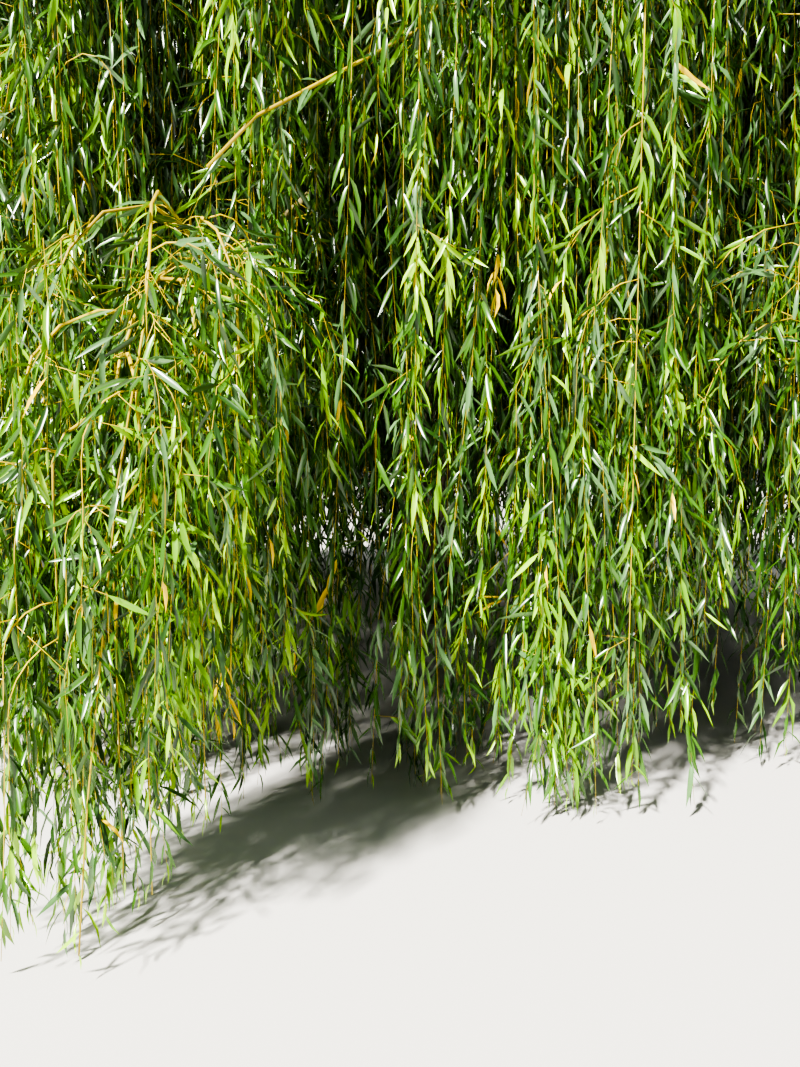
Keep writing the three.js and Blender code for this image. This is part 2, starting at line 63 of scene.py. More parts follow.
# Trunk. One stem of grey-brown willow bark in long, interlaced furrows, leaning a little, with root lobes at
# its foot. It grew in one piece, and it is cut flat where it meets the ground.
TRUNK_TOP = 3.2
TRUNK_LEAN = np.array([0.17, 0.06])
TRUNK_BOW = np.array([-0.13, 0.04])
TRUNK_FOOT_RADIUS = 0.33
TRUNK_TOP_RADIUS = 0.19
FLARE_RADIUS = 0.19
FLARE_HEIGHT = 0.33
FLARE_LOBES = 5
FLARE_LOBE_DEPTH = 0.34
FLARE_TURN = 0.6
TRUNK_SIDES = 120
TRUNK_RINGS = 130
TRUNK_TAPER = 1.3
RING_CROWDING = 1.6
TRUNK_FURROW = 0.03
FURROW_SCALE = 11.0
FURROW_STRETCH = 0.16
FURROW_BEND_SCALE = 0.6
FURROW_BEND = 0.9
RIDGE_WIDTH = 2.2
FURROW_DEPTH = 0.75
CRACK_SCALE = 3.1
CRACK_DEPTH = 0.175
FURROW_LEVEL = 0.8
HEAD_FADE = 6
HEAD_END = 1.05
HEAD_RELIEF = 0.3
FURROW_COLOUR = (0.028, 0.02, 0.013)
RIDGE_COLOUR = (0.175, 0.14, 0.098)
RIDGE_EDGE = (0.35, 1.05)
ALGAE_COLOUR = (0.12, 0.13, 0.05)
ALGAE_SCALE = 2.3
ALGAE_EDGE = (0.48, 0.68)
TRUNK_ALGAE = 0.7
GRAIN_SCALE = 60
GRAIN_SHARE = 0.35
BARK_ROUGHNESS = 0.9
BARK_SHINE = 0.25
FURROW_ROUGHNESS = 0.95
RIDGE_WEAR = 0.15
SCALES_SCALE = 95
SCALES_SHARE = 0.6
PLATES_SCALE = 28
BARK_RELIEF = 0.55
BARK_RELIEF_HEIGHT = 0.006
# Blender's noise takes its seed from the clock until one is set
NOISE_SEED = 1
noise.seed_set(NOISE_SEED)


def unit_post(name, sides, rings):
    """A round post of radius 1 from height 0 to 1, with level rings of points up its side."""
    bpy.ops.object.select_all(action="DESELECT")
    bpy.ops.mesh.primitive_cylinder_add(vertices=sides, radius=1, depth=1, location=(0, 0, 0.5))
    post = bpy.context.object
    post.name = post.data.name = name
    bpy.ops.object.transform_apply(location=True)
    bpy.context.tool_settings.mesh_select_mode = (False, True, False)
    bpy.ops.object.mode_set(mode="EDIT")
    bpy.ops.mesh.select_all(action="DESELECT")
    bpy.ops.object.mode_set(mode="OBJECT")
    for edge in post.data.edges:
        low, high = (post.data.vertices[v].co.z for v in edge.vertices)
        edge.select = abs(high - low) > 0.5
    bpy.ops.object.mode_set(mode="EDIT")
    bpy.ops.mesh.subdivide(number_cuts=rings - 1)
    bpy.ops.object.mode_set(mode="OBJECT")
    return post


def places(piece):
    spots = np.empty(len(piece.data.vertices) * 3, np.float32)
    piece.data.vertices.foreach_get("co", spots)
    return spots.reshape(-1, 3).astype(float)


def move_to(piece, spots):
    piece.data.vertices.foreach_set("co", spots.astype(np.float32).ravel())
    piece.data.update()


def furrows(spots, axis):
    """How far each spot stands out of the bark's furrows, which run along the axis, from 0 to 1."""
    along = spots @ axis
    squeezed = (spots + np.outer(along * (FURROW_STRETCH - 1), axis)) * FURROW_SCALE
    height = []
    for spot in squeezed:
        spot = Vector(spot)
        bent = spot + noise.noise_vector(spot * FURROW_BEND_SCALE) * FURROW_BEND
        wide = 1 - abs(noise.noise(bent)) * RIDGE_WIDTH
        crack = noise.noise(bent * CRACK_SCALE) * CRACK_DEPTH
        height.append(min(1.0, max(0.0, 1 - wide * wide * FURROW_DEPTH + crack)))
    return np.array(height)


def keep_furrows(piece, height):
    """Keeps the height of the furrows on the piece, for the colour of its bark."""
    layer = piece.data.attributes.new("furrow", "FLOAT", "POINT")
    layer.data.foreach_set("value", height.astype(np.float32))


def trunk_axis(height):
    along = np.asarray(height, float) / TRUNK_TOP
    level = np.multiply.outer(along, TRUNK_LEAN) + np.multiply.outer(4 * along * (1 - along), TRUNK_BOW)
    return np.concatenate([level, np.asarray(height, float)[..., None]], axis=-1)


def trunk_radius(height, turn):
    lobe = 1 + FLARE_LOBE_DEPTH * np.cos(FLARE_LOBES * turn + FLARE_TURN)
    taper = TRUNK_FOOT_RADIUS + (TRUNK_TOP_RADIUS - TRUNK_FOOT_RADIUS) * (height / TRUNK_TOP) ** TRUNK_TAPER
    return taper + FLARE_RADIUS * lobe * np.exp(-height / FLARE_HEIGHT)


trunk = unit_post("trunk_wood", TRUNK_SIDES, TRUNK_RINGS)
unit = places(trunk)
height = TRUNK_TOP * unit[:, 2] ** RING_CROWDING
turn = np.arctan2(unit[:, 1], unit[:, 0])
radius = trunk_radius(height, turn)
out = np.stack([np.cos(turn), np.sin(turn), 0 * turn], axis=1)
furrow = furrows(trunk_axis(height) + out * radius[:, None], np.array([0, 0, 1.0]))
fade = np.clip(HEAD_FADE * (HEAD_END - unit[:, 2]), HEAD_RELIEF, 1)
radius += TRUNK_FURROW * (furrow - FURROW_LEVEL) * fade
move_to(trunk, trunk_axis(height) + out * radius[:, None])
keep_furrows(trunk, furrow)


class Wire:
    """A value in a finish, on which sums are written as on numbers."""

    def __init__(self, finish, socket):
        self.finish = finish
        self.socket = socket

    def sum(self, operation, first, second):
        return self.finish.node("ShaderNodeMath", {"operation": operation}, {0: first, 1: second})

    def __add__(self, other):
        return self.sum("ADD", self, other)

    def __sub__(self, other):
        return self.sum("SUBTRACT", self, other)

    def __mul__(self, other):
        return self.sum("MULTIPLY", self, other)

    def __rsub__(self, other):
        return self.sum("SUBTRACT", other, self)

    __radd__ = __add__
    __rmul__ = __mul__


class Finish:
    """A material, with one method that adds a node and others for what this tree's finishes share."""

    def __init__(self, name, roughness, level=0.5):
        self.material = bpy.data.materials.new(name)
        self.material.use_nodes = True
        self.tree = self.material.node_tree
        self.shader = self.tree.nodes["Principled BSDF"]
        self.shader.inputs["Roughness"].default_value = roughness
        self.shader.inputs["Specular IOR Level"].default_value = level

    def node(self, kind, settings, inputs, output=0):
        made = self.tree.nodes.new(kind)
        for name, value in settings.items():
            setattr(made, name, value)
        for name, value in inputs.items():
            self.join(made.inputs[name], value)
        return Wire(self, made.outputs[output])

    def join(self, socket, value):
        if isinstance(value, Wire):
            self.tree.links.new(value.socket, socket)
        elif hasattr(socket.default_value, "__len__") and len(value) < len(socket.default_value):
            socket.default_value = (*value, 1)
        else:
            socket.default_value = value

    def set(self, socket, value):
        self.join(self.shader.inputs[socket], value)

    def object_place(self):
        return self.node("ShaderNodeTexCoord", {}, {}, "Object")

    def noise(self, scale, detail):
        inputs = {"Vector": self.object_place(), "Scale": scale, "Detail": detail}
        return self.node("ShaderNodeTexNoise", {}, inputs, "Fac")

    def steep(self, value, low, high):
        inputs = {"Value": value, "From Min": low, "From Max": high}
        return self.node("ShaderNodeMapRange", {"interpolation_type": "SMOOTHSTEP"}, inputs, "Result")

    def mix(self, share, first, second):
        return self.node("ShaderNodeMix", {"data_type": "RGBA"}, {0: share, 6: first, 7: second}, 2)

    def relief(self, height, strength, distance):
        inputs = {"Height": height, "Strength": strength, "Distance": distance}
        self.set("Normal", self.node("ShaderNodeBump", {}, inputs, "Normal"))

    def on(self, piece):
        piece.data.materials.clear()
        piece.data.materials.append(self.material)
        return piece


def bark_finish(name, deep, ridge, algae, share):
    """Bark that is dark in its furrows and paler on its ridges, with a bloom of algae in patches."""
    finish = Finish(name, BARK_ROUGHNESS, BARK_SHINE)
    furrow = finish.node("ShaderNodeAttribute", {"attribute_name": "furrow"}, {}, "Fac")
    grain = finish.noise(GRAIN_SCALE, 4)
    patch = finish.steep(finish.noise(ALGAE_SCALE, 3), *ALGAE_EDGE)
    high = finish.steep(furrow + grain * GRAIN_SHARE, *RIDGE_EDGE)
    green = finish.mix(patch * share, ridge, algae)
    finish.set("Base Color", finish.mix(high, deep, green))
    finish.set("Roughness", FURROW_ROUGHNESS - high * RIDGE_WEAR)
    scales = finish.noise(SCALES_SCALE, 5) * SCALES_SHARE + finish.noise(PLATES_SCALE, 3)
    finish.relief(scales, BARK_RELIEF, BARK_RELIEF_HEIGHT)
    return finish


trunk_bark = bark_finish("trunk_bark_finish", FURROW_COLOUR, RIDGE_COLOUR, ALGAE_COLOUR, TRUNK_ALGAE)


# Main boughs and leader. Six heavy boughs rise out of the head of the trunk, and the leader goes on up into
# the crown. They have the same furrowed bark, less deep as they thin, and a swollen collar where each starts.
MAIN_BOUGHS = 6
MAIN_SEED, MAIN_SEED_STEP = 101, 37
MAIN_START = 2.08
MAIN_START_STEP = 0.48
MAIN_START_SPREAD = 0.16
MAIN_LEAVE = 42
MAIN_ARRIVE = 60
MAIN_BASE = 0.128
MAIN_TIP = 0.084
FORK_RADIUS, FORK_RADIUS_SPREAD = 1.62, 0.15
FORK_HEIGHT, FORK_HEIGHT_SPREAD = 4.42, 0.26
LEADER_TOP = np.array([0.09, -0.06, 6.98])
LEADER_TIP = 0.03
LEADER_AIM = (-40, 84)
LEADER_COLLAR = 0.01
# Each kind of limb has a number of sides and of rings, and a depth of its furrows
MAIN_MESH = (40, 60, 0.016)
LEADER_MESH = (56, 90, 0.018)
COLLAR = 0.28
COLLAR_LENGTH = 0.16
SWAY = 0.012
SWAY_SCALE = 2.6
FULL_FURROW_RADIUS = 0.12
FRONT_AZIMUTH = -90.6
CURTAINS = 2 * MAIN_BOUGHS
FRONT_CROWDING = 8.1
SEAT_GAP = 0.0003
CURVE_STEPS = 200
CURVE_NUDGE = 1e-4
NEARLY_UPRIGHT = 0.9
DRAW_MODULUS = 2147483647
DRAW_FACTOR = 16807
SEED_FACTOR = 69621
limbs = {}


def seeded(seed):
    """The same row of numbers between 0 and 1 for the same seed."""
    state = (seed * SEED_FACTOR) % DRAW_MODULUS

    def draw():
        nonlocal state
        state = (state * DRAW_FACTOR) % DRAW_MODULUS
        return state / DRAW_MODULUS

    return draw


def direction(azimuth, lift):
    turn, rise = np.radians(azimuth), np.radians(lift)
    level = np.cos(rise)
    return np.stack([level * np.cos(turn), level * np.sin(turn), np.sin(rise) + 0 * turn], axis=-1)


def polar(azimuth, radius, height):
    return direction(azimuth, 0) * radius + np.array([0, 0, height])


def curtain_azimuth(turn):
    """The azimuth of a curtain, counted round the tree from the front one."""
    even = 360 / CURTAINS * turn
    return FRONT_AZIMUTH + even - FRONT_CROWDING * math.sin(math.radians(even))


def on_curve(curve, part):
    part = np.asarray(part, float)[..., None]
    rest = 1 - part
    start, first, second, end = curve
    return rest**3 * start + 3 * rest**2 * part * first + 3 * rest * part**2 * second + part**3 * end


def along_curve(curve, parts):
    """The points and directions of a curve at parts of its length."""
    steps = np.linspace(0, 1, CURVE_STEPS + 1)
    strides = np.linalg.norm(np.diff(on_curve(curve, steps), axis=0), axis=1)
    reached = np.concatenate([[0], np.cumsum(strides)])
    share = np.interp(np.asarray(parts, float) * reached[-1], reached, steps)
    before, after = np.maximum(share - CURVE_NUDGE, 0), np.minimum(share + CURVE_NUDGE, 1)
    ahead = on_curve(curve, after) - on_curve(curve, before)
    return on_curve(curve, share), ahead / np.linalg.norm(ahead, axis=-1, keepdims=True), reached[-1]


def side_frames(tangents):
    """Two directions across each tangent, which turn as little as they can from one to the next."""
    side = np.cross(tangents[0], [1.0, 0, 0] if abs(tangents[0][2]) > NEARLY_UPRIGHT else [0, 0, 1.0])
    first = []
    for tangent in tangents:
        side = side - tangent * (side @ tangent)
        side = side / np.linalg.norm(side)
        first.append(side)
    return np.array(first), np.cross(tangents, first)


def grow_limb(name, start, leave, end, arrive, base, tip, sides, rings, depth, collar=COLLAR):
    """A tapering limb that leaves in one direction and arrives in another."""
    handle = np.linalg.norm(end - start) / 3
    curve = np.array([start, start + leave * handle, end - arrive * handle, end])
    parts = np.linspace(0, 1, rings + 1)
    middle, tangents, length = along_curve(curve, parts)
    limbs[name] = {"curve": curve, "base": base, "tip": tip, "length": length}
    drift = np.array([noise.noise_vector(Vector(spot) * SWAY_SCALE) for spot in middle])
    middle = middle + drift * (SWAY * np.sin(np.pi * parts))[:, None]
    first, second = side_frames(tangents)
    limb = unit_post(name + "_wood", sides, rings)
    unit = places(limb)
    ring = np.rint(unit[:, 2] * rings).astype(int)
    out = first[ring] * unit[:, :1] + second[ring] * unit[:, 1:2]
    swell = 1 + collar * np.exp(-parts * length / COLLAR_LENGTH)
    radius = ((base + (tip - base) * parts) * swell)[ring]
    axis = (end - start) / np.linalg.norm(end - start)
    furrow = furrows(middle[ring] + out * radius[:, None], axis)
    radius = radius + depth * np.minimum(1, radius / FULL_FURROW_RADIUS) * (furrow - FURROW_LEVEL)
    move_to(limb, middle[ring] + out * radius[:, None])
    keep_furrows(limb, furrow)
    return limb


def spot_on(name, part):
    """The point of a limb at a part of its length, and the limb's direction there."""
    point, tangent, _ = along_curve(limbs[name]["curve"], part)
    return point, tangent


def joined(name, wood):
    """One piece of the wood, with the faces of each part kept as they are."""
    bpy.ops.object.select_all(action="DESELECT")
    for part in wood:
        part.select_set(True)
    bpy.context.view_layer.objects.active = wood[0]
    bpy.ops.object.join()
    piece = bpy.context.object
    piece.name = piece.data.name = name
    bpy.ops.object.shade_smooth()
    return piece


heavy = [trunk]
outer_boughs = []
for index in range(MAIN_BOUGHS):
    draw = seeded(MAIN_SEED + MAIN_SEED_STEP * index)
    azimuth = (curtain_azimuth(2 * index) + curtain_azimuth(2 * index + 1)) / 2
    leave, rising = direction(azimuth, MAIN_LEAVE), direction(azimuth, MAIN_ARRIVE)
    start = trunk_axis(MAIN_START + MAIN_START_STEP * (index % 2) + MAIN_START_SPREAD * draw())
    reach = FORK_RADIUS + FORK_RADIUS_SPREAD * draw()
    fork = polar(azimuth, reach, FORK_HEIGHT + FORK_HEIGHT_SPREAD * draw())
    name = f"bough_{index + 1}_lower"
    heavy.append(grow_limb(name, start, leave, fork, rising, MAIN_BASE, MAIN_TIP, *MAIN_MESH))
    outer_boughs.append((index, azimuth, rising, fork, draw))
up = np.array([0, 0, 1.0])
start, arrive = trunk_axis(TRUNK_TOP + SEAT_GAP), direction(*LEADER_AIM)
leader_route = (start, up, LEADER_TOP, arrive, TRUNK_TOP_RADIUS, LEADER_TIP)
heavy.append(grow_limb("leader", *leader_route, *LEADER_MESH, LEADER_COLLAR))
trunk_wood = trunk_bark.on(joined("trunk_and_main_boughs", heavy))
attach(trunk_wood, "root")
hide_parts("trunk", "leader", *[f"bough_{index + 1}_lower" for index in range(MAIN_BOUGHS)])


# Lighter boughs. Each main bough forks into the boughs of two curtains, the leader bears those of the
# shoulders and the inner masses, and one long bough arches out in front. Their bark is olive-brown and finely
# cracked.
CURTAIN_START = {"radius": 3.12, "height": 5.48, "lift": 12, "thickness": 0.024}
FORK = {"spread": 48, "lift": 38, "at": 0.84, "base": 0.066}
CURTAIN_START_SPREAD = 0.12
SHOULDERS = 6
SHOULDER_SEED, SHOULDER_SEED_STEP = 977, 61
SHOULDER_TURN = 12
SHOULDER_TURN_SPREAD = 12
SHOULDER_START = {"radius": 2.03, "height": 7.05, "lift": 36, "base": 0.062, "tip": 0.022, "leave": 48}
SHOULDER_HEIGHT_SPREAD = 0.2
SHOULDER_PART = (0.22, 0.34)
INNER_SEED, INNER_SEED_STEP = 431, 53
INNER_START = {"radius": 1.9, "height": 4.95, "lift": 5, "base": 0.05, "tip": 0.02, "leave": 46}
INNER_HEIGHT_SPREAD = 0.24
INNER_PART = (0.03, 0.12)
GOLDEN_PART = 0.618
SPRAY_AZIMUTH = -102
SPRAY_START = {"radius": 5.17, "height": 2.33, "lift": -12, "base": 0.04, "tip": 0.015}
SPRAY_FROM = 0.9
SPRAY_LEAVE = (-92, 38)
RIGHT_MESH = (22, 46, 0.007)
LEFT_MESH = (20, 46, 0.007)
CROWN_MESH = (18, 40, 0.007)
SPRAY_MESH = (18, 70, 0.004)
BOUGH_FURROW_COLOUR = (0.07, 0.055, 0.022)
BOUGH_RIDGE_COLOUR = (0.24, 0.2, 0.085)
BOUGH_ALGAE_COLOUR = (0.17, 0.19, 0.06)
BOUGH_ALGAE = 0.6
light = []
for index, azimuth, rising, fork, draw in outer_boughs:
    outer = [curtain_azimuth(2 * index), curtain_azimuth(2 * index + 1)]
    heights = [CURTAIN_START["height"] + CURTAIN_START_SPREAD * draw() for _ in outer]
    ends = [polar(to, CURTAIN_START["radius"], height) for to, height in zip(outer, heights)]
    arrivals = [direction(to, CURTAIN_START["lift"]) for to in outer]
    tip = CURTAIN_START["thickness"]
    name = f"bough_{index + 1}"
    start = fork + rising * SEAT_GAP
    route = (start, rising, ends[0], arrivals[0], MAIN_TIP, tip)
    light.append(grow_limb(f"{name}_right", *route, *RIGHT_MESH, 0))
    start, _ = spot_on(f"{name}_lower", FORK["at"])
    leave = direction(azimuth + FORK["spread"], FORK["lift"])
    route = (start, leave, ends[1], arrivals[1], FORK["base"], tip)
    light.append(grow_limb(f"{name}_left", *route, *LEFT_MESH))


def grow_from_leader(name, index, azimuth, parts, at, height):
    """A bough that leaves the leader within the given parts of its length."""
    start, _ = spot_on("leader", parts[0] + parts[1] * (index * GOLDEN_PART % 1))
    end = polar(azimuth, at["radius"], height)
    leave, arrive = direction(azimuth, at["leave"]), direction(azimuth, at["lift"])
    light.append(grow_limb(name, start, leave, end, arrive, at["base"], at["tip"], *CROWN_MESH))


shoulder_azimuths = []
for index in range(SHOULDERS):
    draw = seeded(SHOULDER_SEED + SHOULDER_SEED_STEP * index)
    azimuth = FRONT_AZIMUTH + SHOULDER_TURN + 360 / SHOULDERS * index + SHOULDER_TURN_SPREAD * (draw() - 0.5)
    height = SHOULDER_START["height"] + SHOULDER_HEIGHT_SPREAD * (draw() - 0.5)
    grow_from_leader(f"shoulder_bough_{index + 1}", index, azimuth, SHOULDER_PART, SHOULDER_START, height)
    shoulder_azimuths.append(azimuth)
inner_azimuths = []
for index in range(MAIN_BOUGHS):
    draw = seeded(INNER_SEED + INNER_SEED_STEP * index)
    azimuth = (curtain_azimuth(2 * index - 1) + curtain_azimuth(2 * index)) / 2
    height = INNER_START["height"] + INNER_HEIGHT_SPREAD * (draw() - 0.5)
    grow_from_leader(f"inner_bough_{index + 1}", index, azimuth, INNER_PART, INNER_START, height)
    inner_azimuths.append(azimuth)
start, _ = spot_on("bough_1_lower", SPRAY_FROM)
end = polar(SPRAY_AZIMUTH, SPRAY_START["radius"], SPRAY_START["height"])
leave, arrive = direction(*SPRAY_LEAVE), direction(SPRAY_AZIMUTH, SPRAY_START["lift"])
base, tip = SPRAY_START["base"], SPRAY_START["tip"]
light.append(grow_limb("front_bough", start, leave, end, arrive, base, tip, *SPRAY_MESH))
bough_colours = (BOUGH_FURROW_COLOUR, BOUGH_RIDGE_COLOUR, BOUGH_ALGAE_COLOUR)
bough_bark = bark_finish("bough_bark_finish", *bough_colours, BOUGH_ALGAE)
bough_wood = bough_bark.on(joined("lighter_boughs", light))
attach(bough_wood, "root")
stood_for = [name for name in limbs if name != "leader" and not name.endswith("_lower")]
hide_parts(*stood_for)


# Front curtains and front spray. Thousands of thin golden shoots hang from a few bent stems, and each bears
# narrow leaves to alternate sides, bright green above and blue-grey below, paler and smaller at its tip.
HEIGHT = 9.5
CROWN_RADIUS = 5.12
CROWN_WIDEST_AT = 4.2
HEM_RADIUS = 5.02
CROWN_LOBES = 3
CROWN_LOBE_DEPTH = 0.025
SPACE_GAP = 0.09
SPILL = 0.14
TWIG_SPILL = 0.05
CURTAIN_INNER_RADIUS = 3.06
CURTAIN_ROOF = 6.45
CURTAIN_ROOF_FALL = 0.95
HOLLOW_RADIUS = 4.15
HOLLOW_RISE = 2.3
LOWEST_HEM = 0.06
LOWEST_TIP = 0.06
HEM_RANGE = 0.33
HEM_SEED, HEM_SEED_STEP = 59, 7
EDGE_RISE = 0.62
SPRAY = {"half_width": 0.4, "inner": 5.23, "outer": 6.06, "roof": 2.7}
SPRAY_POINT = -0.16
SPRAY_SIDE_RISE = 0.55
CURTAIN_RULE = {
    "bend": 2.5, "ribs": 5, "from": 0.15, "to": 0.86, "turn": (70, 60), "lift": 22, "rib_bend": 1.5,
    "ragged": 0.42, "leaf": 1.05,
}
SPRAY_RULE = {
    "bend": 1.1, "ribs": 4, "from": 0.3, "to": 0.85, "turn": (60, 45), "lift": 10, "rib_bend": 0.52,
    "ragged": 0.5, "leaf": 0.5,
}
CURTAIN_SEED, CURTAIN_SEED_STEP = 1201, 31
SPRAY_SEED = 5501
LEAF_SEED = 20261
BEND_STEPS = 3
SMOOTH_STEPS = 9
SHORTEST_BEND = 0.3
SHORTEST = 1e-9
SPOT_SPACING = 0.05
SHOOT_CLEAR = 0.14
LIMB_MARGIN = 0.045
RIB_ATTEMPTS = 30
RIB_TURN, RIB_TURN_STEP = 30, 3
RIB_LIFT_SPREAD = 16
RIB_LONGEST, RIB_SPREAD, RIB_STEP = 1.1, 0.6, 0.012
RIB_HANGS_BELOW = 0.5
SOLID_LEAF = 1.3
LEAF_ROOM = 0.92
LEAF_ROOM_USED = 0.8
SHORTER = 0.93
RIB_BASE = 0.009
RIB_TIP = 0.002
STEM_TIP = 0.0025


def azimuth_of(spots):
    return np.degrees(np.arctan2(spots[..., 1], spots[..., 0]))


def radius_of(spots):
    return np.hypot(spots[..., 0], spots[..., 1])


def crown_radius(height, azimuth):
    lobes = 1 - CROWN_LOBE_DEPTH * np.cos(np.radians(CROWN_LOBES * (azimuth - FRONT_AZIMUTH)))
    skirt = HEM_RADIUS + (CROWN_RADIUS - HEM_RADIUS) * height / CROWN_WIDEST_AT
    up_share = (height - CROWN_WIDEST_AT) / (HEIGHT - CROWN_WIDEST_AT)
    dome = CROWN_RADIUS * np.sqrt(np.clip(1 - up_share**2, 0, 1))
    return lobes * np.where(height < CROWN_WIDEST_AT, skirt, dome)


def curtain_roof(radius):
    return CURTAIN_ROOF - CURTAIN_ROOF_FALL * (radius - CURTAIN_INNER_RADIUS)


def turn_between(azimuth, other):
    """The angle between two azimuths, from 0 to 180."""
    return np.abs((azimuth - other + 900) % 360 - 180)


def inside_sector(spots, azimuth, half):
    """How far each spot lies inside the two upright planes of a sector."""
    turn = turn_between(azimuth_of(spots), azimuth)
    return np.where(turn > 90, -np.inf, radius_of(spots) * np.sin(np.radians(half - turn)))


def sector_space(azimuth, half, inner, outer, floor, roof):
    """The space of one mass: whether it holds each spot, give or take a spill, and how low it goes there."""

    def holds(spots, spill=0.0):
        radius = radius_of(spots)
        wide = np.minimum(outer, crown_radius(spots[..., 2], azimuth_of(spots)))
        kept = (radius >= inner - spill) & (radius <= wide + spill / 2)
        kept &= (spots[..., 2] > floor(radius, spots) - spill) & (spots[..., 2] < roof(radius) + spill)
        if half:
            kept &= inside_sector(spots, azimuth, half) >= (-spill if spill else SPACE_GAP / 2)
        return kept

    def outside(spots):
        wide = crown_radius(spots[..., 2], azimuth_of(spots))
        return (radius_of(spots) > wide + TWIG_SPILL) | (spots[..., 2] > HEIGHT)

    return {"holds": holds, "low": lambda spots: floor(radius_of(spots), spots), "outside": outside}


def curtain_space(turn):
    azimuth = curtain_azimuth(turn)
    half = min(curtain_azimuth(turn + 1) - azimuth, azimuth - curtain_azimuth(turn - 1)) / 2
    hem = LOWEST_HEM + HEM_RANGE * seeded(HEM_SEED + HEM_SEED_STEP * turn)()

    def floor(radius, spots):
        inside = np.maximum(0, inside_sector(spots, azimuth, half))
        edge = 1 - inside / (radius * math.sin(math.radians(half)))
        return hem + EDGE_RISE * edge**3 + HOLLOW_RISE * np.maximum(0, HOLLOW_RADIUS - radius)

    return sector_space(azimuth, half, CURTAIN_INNER_RADIUS, np.inf, floor, curtain_roof)


def spray_holds(spots, spill=0.0):
    reach = spots @ direction(SPRAY_AZIMUTH, 0)
    aside = np.abs(spots @ direction(SPRAY_AZIMUTH + 90, 0))
    level = (spots[..., 2] > LOWEST_HEM - spill) & (spots[..., 2] < SPRAY["roof"] + spill)
    level &= aside < SPRAY["half_width"] + spill
    return level & (reach > SPRAY["inner"] - 2 * spill) & (reach < SPRAY["outer"] + spill / 2)


def spray_low(spots):
    aside = (spots @ direction(SPRAY_AZIMUTH + 90, 0) - SPRAY_POINT) / SPRAY["half_width"]
    return LOWEST_HEM + SPRAY_SIDE_RISE * aside**2


spray_space = {
    "holds": spray_holds,
    "low": lambda spots: LOWEST_HEM + 0 * spots[..., 2],
    "outside": lambda spots: spots[..., 2] > SPRAY["roof"] + SPILL,
}
limb_spots, limb_radii = [], []
for limb in limbs.values():
    steps = math.ceil(limb["length"] / SPOT_SPACING)
    parts = np.arange(steps + 1) / steps
    limb_spots.append(along_curve(limb["curve"], parts)[0])
    limb_radii.append(limb["base"] + (limb["tip"] - limb["base"]) * parts)
limb_spots, limb_radii = np.concatenate(limb_spots), np.concatenate(limb_radii)
limb_tree = KDTree(len(limb_spots))
for number, spot in enumerate(limb_spots):
    limb_tree.insert(Vector(spot), number)
limb_tree.balance()


def clear_of_limbs(route, margin):
    for start, end in zip(route, [*route[1:], route[-1]]):
        steps = math.ceil(np.linalg.norm(end - start) / SPOT_SPACING) or 1
        line = start + np.linspace(0, 1, steps + 1)[:, None] * (end - start)
        gaps = np.linalg.norm(limb_spots[None] - line[:, None], axis=2)
        if (gaps < limb_radii + margin).any():
            return False
    return True


def beside_limbs(spots, margin):
    """Whether each spot lies outside the nearest limb by a margin."""
    outside = []
    for spot in spots.reshape(-1, 3):
        _, number, gap = limb_tree.find(Vector(spot))
        outside.append(gap > limb_radii[number] + margin)
    return np.array(outside).reshape(spots.shape[:-1])


def weep(space, start, shoot, steps=BEND_STEPS, checked=True):
    """The route of a shoot that leaves at a lift, bends over under its weight until it hangs, and hangs."""
    route = [np.array(start, float)]
    if shoot.get("upright"):
        route.append(route[-1] + direction(shoot["azimuth"], shoot["lift"]) * shoot["upright"])
    turned = (shoot["lift"] + shoot.get("hang", 90)) / steps
    for step in range(steps):
        slope = shoot["lift"] - turned * (step + 0.5)
        route.append(route[-1] + direction(shoot["azimuth"], slope) * (shoot["bend"] / steps))
        if checked and not space["holds"](route[-1]):
            return None
    hanging = route[-1][2] - max(float(space["low"](route[-1])), shoot["end"])
    if hanging > SHORTEST_BEND:
        route.append(route[-1] - up * hanging)
    return np.array(route)


def lengths_along(route):
    return np.concatenate([[0], np.cumsum(np.linalg.norm(np.diff(route, axis=0), axis=1))])


def at_lengths(route, wanted):
    reached = lengths_along(route)
    return np.stack([np.interp(wanted, reached, route[:, axis]) for axis in range(3)], axis=-1)


def evenly(route):
    count = math.floor(lengths_along(route)[-1] / SPOT_SPACING)
    return at_lengths(route, np.arange(count) * SPOT_SPACING)


def grow_rib(space, rule, heading, start, taken, draw):
    """A rib that stays in its space and clear of the limbs and the other ribs, or None."""
    for attempt in range(RIB_ATTEMPTS):
        azimuth = heading + (RIB_TURN + RIB_TURN_STEP * attempt) * (draw() - 0.5)
        lift = rule["lift"] + RIB_LIFT_SPREAD * (draw() - 0.5)
        bend = rule["rib_bend"] * (RIB_LONGEST - RIB_SPREAD * draw()) * (1 - RIB_STEP * attempt)
        end = float(space["low"](start)) + rule["lowest"] + rule["ragged"] * draw()
        shoot = {"azimuth": azimuth, "lift": lift, "bend": bend, "end": end}
        route = weep(space, start, shoot)
        if route is None or not clear_of_limbs(route[1:], LIMB_MARGIN):
            continue
        spots = evenly(route)
        hanging = spots[spots[:, 2] < start[2] - RIB_HANGS_BELOW]
        near = np.linalg.norm(hanging[:, None] - np.concatenate(taken)[None], axis=2) < SHOOT_CLEAR
        if not near.any():
            taken.append(spots)
            return shoot
    return None


